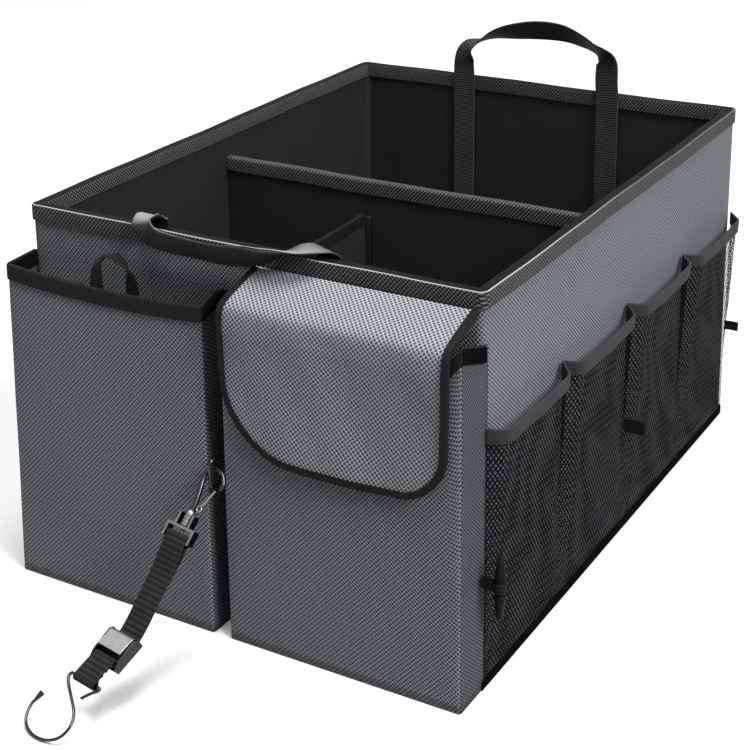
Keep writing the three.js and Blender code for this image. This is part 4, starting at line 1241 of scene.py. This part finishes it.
def corner_cut(z, radius):
    """How much a round corner at the flap's foot takes off its side at a height."""
    over = max(0.0, FLAP_BOTTOM + radius - z)
    return radius - math.sqrt(max(0.0, radius**2 - over**2))


def flap_sides(z, distance):
    """Left and right edge of the flap at a height and at a distance from its root."""
    near = max(0.0, 1 - distance / FLAP_SHOULDER)
    down = max(0.0, (FLAP_NARROW_FROM - z) / (FLAP_NARROW_FROM - FLAP_BOTTOM))
    right = FLAP_RIGHT + 4 * near - 3 * down**1.5
    left = FLAP_LEFT + 9 * near + corner_cut(z, FLAP_LEFT_RADIUS)
    return left, right - corner_cut(z, FLAP_RIGHT_RADIUS)


def flap_point(x, y, z):
    """A point on the flap, with its soft waves and the hang of its foot."""
    out = wave(x + 0.5 * z, 0.7 * clamped((FLAP_AXIS_Z - z) / 30), 130)
    share = clamped((x - FLAP_LEFT) / (FLAP_RIGHT - FLAP_LEFT))
    hang = FLAP_HANG * clamped((FLAP_HANG_FROM - z) / (FLAP_HANG_FROM - FLAP_BOTTOM)) ** 2
    return on_box(x, y - out, z - hang * math.sin(math.pi * share) ** 0.8)


class ORGANIZER_OT_flap(bpy.types.Operator):
    """Flap of the right pocket and the tape round its free edge"""

    bl_idname = "organizer.flap"
    bl_label = "Flap"

    def execute(self, context):
        line = flap_line()
        travelled = distances(line)
        columns = 44

        def place(column, row):
            y, z = line[row]
            left, right = flap_sides(z, travelled[row])
            return flap_point(left + (right - left) * column / columns, y, z)

        def uv(column, row):
            left, right = flap_sides(line[row].y, travelled[row])
            return ((left + (right - left) * column / columns) * MM, travelled[row] * MM)

        sheet = grid(columns, len(line) - 1, place, uv)
        bmesh.ops.recalc_face_normals(sheet, faces=sheet.faces)
        cloth = add_piece("flap_cloth", sheet, finish("Flap twill with painted light"), "flap", ["flap"])
        thicken(cloth, 1.4, 0.0)
        add_piece("flap_tape", self.tape(line, travelled), finish("Soft tape"), "flap", ["flap_binding"])
        return {"FINISHED"}

    def edge(self, line, travelled):
        """The flap's free edge from the left end of its root, round its foot, to the right end."""
        rows = range(1, len(line))
        sides = {row: flap_sides(line[row].y, travelled[row]) for row in rows}
        edge = [Vector((sides[row][0], *line[row])) for row in rows]
        left, right = sides[rows[-1]]
        edge += [Vector((left + (right - left) * step / 12, *line[-1])) for step in range(1, 12)]
        edge += [Vector((sides[row][1], *line[row])) for row in reversed(rows)]
        spaced = [edge[0]]
        for point in edge[1:]:
            if (point - spaced[-1]).length > 1.2:
                spaced.append(point)
        return smooth_line(spaced, 3 * len(spaced))

    def tape(self, line, travelled):
        """Tape folded over the free edge, turned with the flap's slope."""
        flow = self.edge(line, travelled)
        around = fold_section(2.0, 5.5, 0.5, 4)
        lengths = distances(flow)
        girth = distances(around)
        frames = []
        for index, point in enumerate(flow):
            slope = next((row for row in range(1, len(line)) if line[row].y <= point.z), len(line) - 1)
            drop = (line[slope] - line[slope - 1]).normalized()
            face = Vector((0, drop.y, -drop.x))
            frames.append((point, face, direction(flow, index).cross(face).normalized()))
        foot, _, out = frames[len(frames) // 2]
        middle = Vector(((FLAP_LEFT + FLAP_RIGHT) / 2, FLAP_FACE_Y, 220))
        turn = -1 if out.dot(middle - foot) > 0 else 1

        def place(column, row):
            point, face, out = frames[column]
            a, b = around[row]
            spot = point + face * a + out * turn * (b + 1.4)
            return flap_point(spot.x, spot.y, spot.z)

        def uv(column, row):
            return (lengths[column] * MM, girth[row] * MM)

        return close_ends(grid(len(flow) - 1, len(around) - 1, place, uv, close_rows=True))


# Net pockets and fastenings on the sides


def net_share(z):
    """How wide the net pockets stand at a height, against their top edge."""
    share = (z - NET_FOOT) / (NET_TOP - NET_FOOT)
    return NET_FOOT_SHARE + (1 - NET_FOOT_SHARE) * share


def net_plan():
    """The pleated plan of a side's net, as (stand, y) at its top edge, front to back."""
    plan = []
    for index in range(4):
        start = NET_START + index * NET_POCKET
        end = start + NET_POCKET
        plan += [(0.3, start), (NET_BULGE * 0.55, start + 2.5), (NET_BULGE + 0.4, start + NET_GUSSET)]
        plan += [(NET_BULGE + 0.9, start + 40), (NET_BULGE + 0.7, end - 46), (NET_BULGE, end - NET_CURL)]
        plan += [(NET_BULGE * 0.35, end - 6), (0.6, end - 1)]
    plan.append((0.3, NET_START + 4 * NET_POCKET))
    return [Vector(point) for point in plan]


def smooth_plan(points):
    """A line through points that keeps its corners but rounds them a little."""
    line = []
    for first, second in zip(points, points[1:]):
        line += [first.lerp(second, bit / 5) for bit in range(5)]
    line.append(points[-1])
    for _ in range(2):
        inner = [line[i - 1] * 0.25 + line[i] * 0.5 + line[i + 1] * 0.25 for i in range(1, len(line) - 1)]
        line = [line[0], *inner, line[-1]]
    return line


def side_net(side, name):
    """One side's net with the tape along its top edge; side is 1 on the right and -1 on the left."""
    route = stops(smooth_plan(net_plan()), 2.6)
    levels = 44

    def on_side(x, y, z):
        made = on_box(x, y, z)
        return Vector((side * made.x, made.y, made.z))

    def place(column, row):
        point = route[column][0]
        z = NET_FOOT + (NET_TOP - 10 - NET_FOOT) * row / levels
        slack = wave(route[column][2] + z, 0.5, 90) * math.sin(math.pi * row / levels)
        stand = (point.x + slack * min(1, point.x / 8)) * net_share(z)
        return on_side(NET_WALL_X + 0.5 + stand, point.y, z)

    def uv(column, row):
        return (route[column][2] * MM, (NET_TOP - NET_FOOT) * row / levels * MM)

    net = grid(len(route) - 1, levels, place, uv)
    piece = add_piece(f"net_{name}", net, finish("Side net"), "box", [f"side_net_{name}"])
    if side < 0:
        piece.data.flip_normals()

    section = fold_section(1.1, 11, 0.45, 3)

    def tape_place(point, normal, distance, out, up):
        z = NET_TOP + up - 0.4 + wave(distance, 0.7, 120)
        stand = (point.x + normal.x * out) * net_share(z)
        return on_side(NET_WALL_X + 1.2 + stand, point.y + normal.y * out, z)

    tape = folded_tape(route, section, tape_place, False)
    bmesh.ops.recalc_face_normals(tape, faces=tape.faces)
    add_piece(f"net_tape_{name}", tape, finish("Net tape"), "box", [f"side_net_band_{name}"])


class ORGANIZER_OT_nets(bpy.types.Operator):
    """Net pockets along both sides"""

    bl_idname = "organizer.nets"
    bl_label = "Side nets"

    def execute(self, context):
        side_net(1, "right")
        side_net(-1, "left")
        return {"FINISHED"}


def band_line(points):
    return smooth_line([Vector(point) for point in points], 48)


class ORGANIZER_OT_fastenings(bpy.types.Operator):
    """Toggle, its loop, and the tape tab and loop on the right side"""

    bl_idname = "organizer.fastenings"
    bl_label = "Side fastenings"

    def execute(self, context):
        low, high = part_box("toggle")
        centre = (low + high) / 2 / MM
        half = [(3, 4.7), (4.1, 4.9), (4.1, 5.2), (3.4, 5.6), (3.4, 6.4), (4.0, 6.8), (4.3, 7.4)]
        half += [(4.1, 8.2), (2.2, 24.4), (1.6, 25), (0, 25)]
        profile = [(radius, -height) for radius, height in reversed(half)] + half
        toggle = moved(turned(profile), Matrix.Translation(centre))
        add_piece("toggle_body", toggle, finish("Black plastic"), "box", ["toggle"])
        tails = [Vector((-14.6, 1.0, 0)), Vector((-8, 1.2, 0)), Vector((-4, 2.2, 0))]
        loop = list(tails)
        for step in range(11):
            angle = math.pi * 0.75 - step * math.pi * 1.5 / 10
            loop.append(Vector((math.cos(angle), math.sin(angle), 0)) * 3.95)
        loop += [Vector((place.x, -place.y, 0)) for place in reversed(tails)]
        path = smooth_line([centre + place for place in loop], 72)
        tape = finish("Ribbed tape")
        add_piece("toggle_loop_tape", upright_ribbon(path, 8.6, 0.9), tape, "box", ["toggle_loop"])
        tab_low, tab_high = (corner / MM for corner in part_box("side_tab"))
        tab_z = (tab_low.z + tab_high.z) / 2
        start, end = tab_low.x, tab_high.x
        neck = start + (end - start) * 0.6
        bend = [(neck, -0.6), (end - 0.9, -0.7), (end - 0.4, 0), (end - 0.9, 0.7), (neck, 0.6)]
        places = [(x, y, tab_z + 0.5) for x, y in bend]
        tab = band_line([(start, -0.45, tab_z), *places, (start, 0.45, tab_z)])
        add_piece("side_tab_tape", upright_ribbon(tab, 12.4, 0.7), tape, "box", ["side_tab"])
        back_low, back_high = (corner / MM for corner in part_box("rear_loop"))
        z = (back_low.z + back_high.z) / 2
        y = (back_low.y + back_high.y) / 2
        start, end = back_low.x, back_high.x
        bend = [(start, -0.5), (start + 7, 0.4), (end - 1.5, -0.2), (end - 0.4, 0.7)]
        bend += [(end - 1.5, 1.3), (start + 7, 1.5), (start, 0.7)]
        rear = band_line([(x, y + shift, z) for x, shift in bend])
        add_piece("rear_loop_tape", upright_ribbon(rear, 8.6, 0.7), tape, "box", ["rear_loop"])
        return {"FINISHED"}


# Handles


def handle(stations, width=24):
    """Webbing through stations of (place, way of its width), on the spreading box."""
    middle = smooth_line([Vector(place) for place, _ in stations], 150)
    sides = smooth_line([Vector(side) for _, side in stations], 150)
    line = [on_box(*point) / MM for point in middle]
    return ribbon(line, sides, width, HANDLE_THICKNESS)


class ORGANIZER_OT_handles(bpy.types.Operator):
    """Standing back handle and the front handle that flops over the rim"""

    bl_idname = "organizer.handles"
    bl_label = "Handles"

    def execute(self, context):
        leg = HANDLE_LEG_Y
        back = [
            ((-74.5, leg, 176), (1, 0, 0)),
            ((-74.5, leg, 230), (1, 0, 0)),
            ((-74.5, leg, 290), (1, 0, 0)),
            ((-74.6, leg, 314.7), (1, -0.12, 0)),
            ((-70.4, leg, 325.9), (0.88, -0.45, 0)),
            ((-61.8, leg, 332.4), (0.5, -0.85, 0.1)),
            ((-52.4, leg, 337.0), (0.1, -1, 0.2)),
            ((-40.1, leg, 342.7), (0, -0.85, 0.5)),
            ((-22.7, leg, 347.2), (0, -0.65, 0.75)),
            ((2.6, leg, 350.9), (0, -0.5, 0.87)),
            ((26.6, leg, 350.6), (0, -0.55, 0.83)),
            ((45.5, leg, 345.3), (0.25, -0.7, 0.65)),
            ((56.6, leg, 340.3), (0.42, -0.78, 0.46)),
            ((64.5, leg, 335.5), (0.75, -0.55, 0.25)),
            ((69.7, leg, 327.9), (1, -0.15, 0.05)),
            ((69.9, leg, 312.4), (1, 0, 0)),
            ((71, leg, 290), (1, 0, 0)),
            ((71, leg, 230), (1, 0, 0)),
            ((71, leg, 176), (1, 0, 0)),
        ]
        add_piece("back_handle", handle(back, 22), finish("Handle webbing"), "box", ["handle_back"])
        left, right = -78, 62
        front = [
            ((left, -leg, 190), (1, 0, 0)),
            ((left, -leg, 245), (1, 0, 0)),
            ((left, -leg + 0.2, 298), (1, 0, 0)),
            ((left, -243, 306.5), (1, 0, 0)),
            ((-76, -252, 306.5), (0.9, 0.1, 0.35)),
            ((-69, -259, 301), (0.4, -0.25, 0.86)),
            ((-57, -260.5, 297), (0.1, -0.5, 0.85)),
            ((-36, -258.5, 295), (0, -0.58, 0.8)),
            ((-8, -257.5, 294), (0, -0.58, 0.8)),
            ((18, -258.5, 298.5), (0, -0.62, 0.77)),
            ((34, -257, 302.5), (0.1, -0.8, 0.5)),
            ((46, -250.5, 304), (0.5, -0.8, 0.22)),
            ((55, -241.5, 304.5), (0.85, -0.5, 0.06)),
            ((60.5, -232, 302), (0.9, -0.4, 0)),
            ((right, -228.5, 295), (1, -0.2, 0)),
            ((right, -230.5, 282), (1, 0, 0)),
            ((right, -236.4, 262), (1, 0, 0)),
            ((right, -leg, 240), (1, 0, 0)),
            ((right, -leg, 190), (1, 0, 0)),
        ]
        piece = add_piece("front_handle", handle(front), finish("Webbing with painted sheen"), "box", ["handle_front"])
        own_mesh(piece)
        return {"FINISHED"}


# The tie-down strap


def in_strap(group, up, out):
    """A place in one of the strap's groups as (up, out) of the strap's line."""
    spot = STRAP.inverted() @ (group @ Vector((0, up, out)))
    return Vector((0, spot.y, spot.z))


def strap_route(points):
    """Points given as (0, up, out) of the strap's line, as places in millimetres."""
    return [STRAP @ point for point in points]


def eye(pin, start, end, radius):
    """Points on a circle about a pin, by angles in degrees from up the strap towards out of it."""
    points = []
    for step in range(15):
        angle = math.radians(start + (end - start) * step / 14)
        points.append(pin + Vector((0, math.cos(angle), math.sin(angle))) * radius)
    return points


def even(points, step):
    """The same line with its points a fixed distance apart."""
    lengths = distances(points)
    count = max(2, round(lengths[-1] / step))
    result = []
    index = 0
    for number in range(count + 1):
        want = lengths[-1] * number / count
        while index < len(points) - 2 and lengths[index + 1] < want:
            index += 1
        share = (want - lengths[index]) / max(lengths[index + 1] - lengths[index], 1e-9)
        result.append(points[index].lerp(points[index + 1], clamped(share)))
    return result


def length_of(points):
    return distances(points)[-1]


def strap_webbing(route):
    """Ribbed webbing along a route in millimetres."""
    rib = sizes().strap_rib

    def swell(distance):
        return 1 + 0.42 * abs(math.sin(math.pi * distance / rib)) ** 0.6

    return ribbon(route, [ACROSS_STRAP] * len(route), STRAP_WIDTH, STRAP_WEB * 0.82, swell)


SNAP_PIECES = ("snap_hook_wire", "snap_barrel", "snap_gate_wire")
FOOT_PIECES = ("lower_webbing", "wire_hook_rod", "hook_tip_cone")


class ORGANIZER_OT_fittings(bpy.types.Operator):
    """Ring, snap hook, swivel frame, buckle and wire hook of the strap"""

    bl_idname = "organizer.fittings"
    bl_label = "Strap fittings"

    def execute(self, context):
        self.ring()
        self.snap()
        self.hook()
        nodes = frame["nodes"]
        dress(nodes["swivel_frame"], finish("Nickel with painted reflection"))
        dress(nodes["buckle_frame"], finish("Black nickel"), 0.35)
        dress(nodes["buckle_lever"], finish("Satin steel"), 0.3)
        return {"FINISHED"}

    def ring(self):
        """The ring in the gap between the pockets, and its tape."""
        back = STRAP_TOP - STRAP_FOOT
        back.z = 0
        back.normalize()
        up = Vector((0, 0, 1))
        half = RING_WIDTH / 2 - RING_RADIUS
        reach = RING_DEPTH - RING_RADIUS
        corners = [(0, -half), (reach, -half), (reach, half), (0, half)]
        plan = rounded(corners, 4.7, True, 6)
        line = [STRAP_TOP + back * point[0] + up * point[1] for point in plan]
        ring = round_bar(even(line, 1.0), RING_RADIUS)
        add_piece("strap_ring_body", ring, finish("Black nickel"), "box", ["strap_ring"])
        bar = STRAP_TOP + back * reach
        _, high = (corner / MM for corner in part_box("ring_tape"))
        root = high.y
        path = [Vector((bar.x + 1.1, root, bar.z)), Vector((bar.x + 1.1, bar.y + 6, bar.z))]
        for step in range(11):
            angle = math.pi * 0.22 - step * math.pi * 1.44 / 10
            path.append(bar + Vector((math.cos(angle), math.sin(angle), 0)) * 2.7)
        path += [Vector((bar.x - 1.1, bar.y + 6, bar.z)), Vector((bar.x - 1.1, root, bar.z))]
        tape = upright_ribbon(smooth_line(path, 64), 11.6, 0.9)
        add_piece("ring_tape_webbing", tape, finish("Ribbed tape"), "box", ["ring_tape"])

    def snap(self):
        """Snap hook with its barrel, and its wire gate."""
        places = [(0, -29), (-0.4, -22), (-2.2, -12), (-4.2, -4), (-4.1, 1)]
        places += [(-1.8, 5), (4, 6.2), (10.6, 4), (14.8, -1), (15.2, -7.5)]
        line = smooth_line([SNAP @ Vector((x, y, 0)) for x, y in places], 90)

        def taper(share):
            tip = min(1.0, (1 - share) * 26 + 0.35)
            return tip * (1.0 - 0.18 * share) * (1 + 0.12 * math.exp(-(share / 0.08) ** 2))

        body = round_bar(line, SNAP_RADIUS, 16, taper)
        grooves = [(0, -40.2), (2.6, -40.2), (3.2, -39.5)]
        for low in (-38.4, -35.6, -32.8):
            grooves += [(3.2, low), (2.85, low + 0.3), (2.85, low + 0.8), (3.2, low + 1.1)]
        grooves += [(3.2, -29.2), (2.6, -28.2), (1.9, -27.4), (0, -27.4)]
        barrel = turned(grooves, 28)
        turn = Matrix.Rotation(-math.pi / 2, 4, "X")
        moved(barrel, SNAP @ turn)
        stem = turned([(0, -44), (1.9, -44), (1.9, -42.9), (1, -42.8), (1, -40), (0, -40)], 20)
        moved(stem, SNAP @ turn)
        rivet = [(0, -2), (2.3, -2), (2.4, -1.8), (2.4, -1.1), (1.0, -1.05), (1.0, 0.8), (0.8, 1.0), (0, 1.0)]
        pivot = SNAP @ Matrix.Translation(GATE_PIVOT)
        lug = moved(turned(rivet, 24), pivot)
        bracket = round_bar([SNAP @ Vector((x, GATE_PIVOT[1], -1.5)) for x in (-0.2, 2, 4)], 0.5, 10)
        hook = joined([body, stem, lug, bracket])
        add_piece("snap_hook_wire", hook, finish("Black nickel"), "snap", ["snap_hook"])
        add_piece("snap_barrel", barrel, finish("Turned steel"), "snap")
        gate = pivot @ Matrix.Rotation(-math.radians(GATE_LEAN), 4, "Z")
        angles = [0.5 + step * 5.3 / 14 for step in range(15)]
        loop = [gate @ (Vector((math.sin(angle), math.cos(angle), 0)) * 2.0) for angle in angles]
        arm = [gate @ Vector((0, y, 0)) for y in (3.4, 8, 17.2)]
        wire = round_bar(smooth_line(loop + arm, 70), GATE_RADIUS, 10)
        add_piece("snap_gate_wire", wire, finish("Bright wire"), "gate", ["snap_gate"])

    def hook(self):
        """Wire hook bent from one rod, and its thickened tip."""
        places = [(5.5, -12), (10, -6.2), (14.6, -1.6), (14.2, 0), (12.5, 0), (0, 0), (-12.5, 0)]
        places += [(-15.4, -0.6), (-15.4, -4), (-11, -8.5), (-2.6, -14.5), (7.6, -22.5), (11.9, -31)]
        places += [(10, -40.5), (1.6, -47), (-10.7, -49), (-21.5, -46), (-27.2, -40)]
        places += [(-29.2, -32), (-28.6, -29)]
        line = smooth_line([END_HOOK @ Vector((x, y, 0)) for x, y in places], 190)
        wire = round_bar(line, HOOK_RADIUS)
        add_piece("wire_hook_rod", wire, finish("Black nickel"), "hook", ["wire_hook"])
        tip = [(0, -0.6), (1.15, -0.6), (1.3, 0), (2.15, 6.2), (2.1, 6.9), (1.7, 7.2), (0, 7.2)]
        cone = turned(tip, 24)
        stand = END_HOOK @ Matrix.Translation((-28.52, -28.6, 0)) @ Matrix.Rotation(-0.2, 4, "Z")
        moved(cone, stand @ Matrix.Rotation(-math.pi / 2, 4, "X"))
        add_piece("hook_tip_cone", cone, finish("Black nickel"), "hook", ["hook_tip"])


class ORGANIZER_OT_strap(bpy.types.Operator):
    """Ribbed webbing of the tie-down strap, above and below the buckle"""

    bl_idname = "organizer.strap"
    bl_label = "Tie-down strap"

    def execute(self, context):
        pin = in_strap(SNAP, -49, 0)
        bend = STRAP_PIN + 0.8 + STRAP_WEB / 2
        tail = [
            pin + Vector((0, -SEWN_TAIL, -6.4)),
            pin + Vector((0, -SEWN_TAIL / 2, -4.6)),
            pin + Vector((0, -5, -2.7)),
        ]
        main = [
            Vector((0, -76, -11.2)),
            Vector((0, -97, -14.6)),
            Vector((0, -112, -17.2)),
            in_strap(BUCKLE, 14, -3),
            in_strap(BUCKLE, 5, -3),
            in_strap(BUCKLE, -4, -3),
        ]
        upper = smooth_line(tail + eye(pin, 285, 440, bend) + main, 500)
        route = strap_route(even(upper, WEBBING_STEP))
        webbing = strap_webbing(route)
        piece = add_piece("upper_webbing", webbing, finish("Strap webbing"), "box", ["strap_upper"])
        self.lower(bend)
        nodes = frame["nodes"]
        fittings = [nodes[name] for name in ("swivel_frame", "buckle_frame", "buckle_lever")]
        fittings += [bpy.data.objects[name] for name in SNAP_PIECES + FOOT_PIECES]
        length_of(route) * MM
        return {"FINISHED"}

    def lower(self, bend):
        """The short webbing between the buckle and the wire hook."""
        top = in_strap(BUCKLE, -9.8, 0.4)
        foot = in_strap(END_HOOK, 0, 0)
        run = (foot - top).normalized()
        under = Vector((0, run.z, -run.y))
        points = [top + run * 8.5 + under * 1.3, top + run * 4 + under * 1.9]
        points += eye(top, 275, 440, bend)
        points += eye(foot, 75, 262, bend)
        points += [foot - run * 4 + under * 1.9, foot - run * 8.5 + under * 1.3]
        route = strap_route(even(smooth_line(points, 260), WEBBING_STEP))
        add_piece("lower_webbing", strap_webbing(route), finish("Strap webbing"), "box", ["strap_lower"])


# Materials, stage and the run


class ORGANIZER_OT_finishes(bpy.types.Operator):
    """All finishes and the node groups that they share"""

    bl_idname = "organizer.finishes"
    bl_label = "Finishes"

    def execute(self, context):
        build_weave_group()
        build_rib_group()
        build_net_group()
        build_wear_group()
        tape = colours().tape
        make_cloth("Grey twill")
        # Painted light: a lighter copy of the grey twill for the flap
        make_cloth("Flap twill with painted light", 1.31)
        # Painted shade: a darker copy of the grey twill for the pockets' side faces
        make_cloth("Shaded twill", 0.42)
        make_dotted_tape("Rim tape", tape, True)
        make_dotted_tape("Divider tape", tape)
        make_lining()
        make_tape("Ribbed tape", sizes().tape_rib, shade(tape, 0.5))
        make_tape("Foot tape", sizes().tape_rib, shade(tape, 0.3), 1.5, 0.0)
        # Painted shade: a darker copy of the tape for the pockets' side faces
        make_tape("Shaded tape", 0.0012, shade(tape, 0.3), 1.5, 0.0)
        make_tape("Soft tape", 0.0012, shade(tape, 0.5), 1.3)
        make_tape("Net tape", 0.0014, shade(colours().net, 2.2), 1.2)
        make_tape("Handle webbing", 0.0023, shade(tape, 1.7), 2.2)
        make_webbing_with_painted_sheen("Webbing with painted sheen", shade(tape, 1.5), 0.303)
        make_tape("Strap webbing", sizes().strap_rib * MM, shade(tape, 0.5), 3.0)
        make_net()
        make_metal("Black nickel", colours().metal, 0.2, 0.34)
        # The swivel frame's outward faces carry a painted reflection
        make_metal_with_painted_reflection("Nickel with painted reflection", shade(colours().metal, 0.5), shade(colours().steel, 0.7))
        make_metal("Bright wire", shade(colours().steel, 0.8), 0.2, 0.3)
        make_metal("Satin steel", colours().steel, 0.34, 0.46)
        make_metal("Turned steel", shade(colours().steel, 0.45), 0.42, 0.54)
        make_plain("Black plastic", shade(tape, 0.3), specular=0.05)
        make_plain("Fibre board", paint(150, 143, 132), 0.7, 0.9)
        return {"FINISHED"}


def lamp(name, place, target, size, power):
    """A soft square lamp that faces a point, in metres and watts."""
    data = bpy.data.lights.new(name, "AREA")
    data.size = size
    data.energy = power
    made = bpy.data.objects.new(name, data)
    made.location = place
    made.rotation_euler = (Vector(target) - Vector(place)).to_track_quat("-Z", "Y").to_euler()
    bpy.context.scene.collection.objects.link(made)


class ORGANIZER_OT_stage(bpy.types.Operator):
    """Pale floor, white background, soft lamps and the camera"""

    bl_idname = "organizer.stage"
    bl_label = "Stage"

    def execute(self, context):
        scene = context.scene
        scene.view_settings.view_transform = "Standard"
        self.world(scene)
        self.floor()
        lamp("Key lamp", (4.9, -1.3, 4.6), (0, 0, 0.1), 2.2, 715)
        lamp("Top lamp", (0.3, -0.6, 5.6), (0, 0, 0.1), 2.6, 600)
        self.camera(scene)
        return {"FINISHED"}

    def world(self, scene):
        """Soft grey light all round, and white where the camera or a reflection looks past the object."""
        world = bpy.data.worlds.new("Studio")
        world.use_nodes = True
        scene.world = world
        tree = world.node_tree
        back = tree.nodes["Background"]
        tree.links.new(between(tree, self.seen(tree), 0.28, 1.0), back.inputs["Strength"])
        back.inputs["Color"].default_value = (1, 1, 1, 1)

    def seen(self, tree):
        """1 for rays that show the background itself, and 0 for those that only bring its light."""
        path = tree.nodes.new("ShaderNodeLightPath")
        direct = math_node(tree, "MAXIMUM", path.outputs["Is Camera Ray"], path.outputs["Is Glossy Ray"])
        return math_node(tree, "MAXIMUM", direct, path.outputs["Is Transmission Ray"])

    def floor(self):
        """A wide pale floor that keeps the object's soft shadow."""
        bm = bmesh.new()
        bmesh.ops.create_circle(bm, cap_ends=True, segments=96, radius=6.0)
        mesh = bpy.data.meshes.new("Studio floor")
        bm.to_mesh(mesh)
        bm.free()
        floor = bpy.data.objects.new("Studio floor", mesh)
        bpy.context.scene.collection.objects.link(floor)
        material, tree, shader = blank_finish("Pale floor")
        pale = mix_colours(tree, self.seen(tree), (0.22, 0.22, 0.22, 1), (0.46, 0.46, 0.46, 1))
        tree.links.new(pale, shader.inputs["Base Color"])
        shader.inputs["Roughness"].default_value = 0.9
        mesh.materials.append(material)

    def camera(self, scene):
        """The camera at the photograph's viewing angle, from the fitted corners of the box."""
        data = bpy.data.cameras.new("Camera")
        data.sensor_width = 36
        data.lens = 76.28
        data.clip_end = 50
        camera = bpy.data.objects.new("Camera", data)
        right = Vector((0.86473666, 0.50204376, -0.01351201))
        up = Vector((-0.20073612, 0.37016599, 0.90701827))
        turn = Matrix((right, up, right.cross(up))).transposed().to_4x4()
        camera.matrix_world = Matrix.Translation((0.604148, -1.090266, 0.678373)) @ turn
        scene.collection.objects.link(camera)
        scene.camera = camera


class ORGANIZER_PT_panel(bpy.types.Panel):
    """Lists the steps and the values that they use"""

    bl_idname = "ORGANIZER_PT_panel"
    bl_label = "Car Organizer"
    bl_space_type = "VIEW_3D"
    bl_region_type = "UI"
    bl_category = "Organizer"

    def draw(self, context):
        layout = self.layout
        for operator in STEPS:
            layout.operator(operator.bl_idname)
        for group in (context.scene.organizer_colours, context.scene.organizer_sizes):
            for name in group.__annotations__:
                layout.prop(group, name)


STEPS = (
    ORGANIZER_OT_finishes,
    ORGANIZER_OT_stage,
    ORGANIZER_OT_fittings,
    ORGANIZER_OT_strap,
    ORGANIZER_OT_shell,
    ORGANIZER_OT_bindings,
    ORGANIZER_OT_dividers,
    ORGANIZER_OT_pockets,
    ORGANIZER_OT_flap,
    ORGANIZER_OT_nets,
    ORGANIZER_OT_fastenings,
    ORGANIZER_OT_handles,
)
CLASSES = (CarOrganizerColours, CarOrganizerSizes, *STEPS, ORGANIZER_PT_panel)


def register():
    for cls in CLASSES:
        bpy.utils.register_class(cls)
    bpy.types.Scene.organizer_colours = bpy.props.PointerProperty(type=CarOrganizerColours)
    bpy.types.Scene.organizer_sizes = bpy.props.PointerProperty(type=CarOrganizerSizes)


def unregister():
    del bpy.types.Scene.organizer_sizes
    del bpy.types.Scene.organizer_colours
    for cls in reversed(CLASSES):
        bpy.utils.unregister_class(cls)


def main():
    register()
    bpy.ops.organizer.finishes()
    bpy.ops.organizer.stage()
    bpy.ops.organizer.fittings()
    bpy.ops.organizer.strap()
    bpy.ops.organizer.shell()
    bpy.ops.organizer.bindings()
    bpy.ops.organizer.dividers()
    bpy.ops.organizer.pockets()
    bpy.ops.organizer.flap()
    bpy.ops.organizer.nets()
    bpy.ops.organizer.fastenings()
    bpy.ops.organizer.handles()
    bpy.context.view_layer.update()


if __name__ == "__main__":
    main()
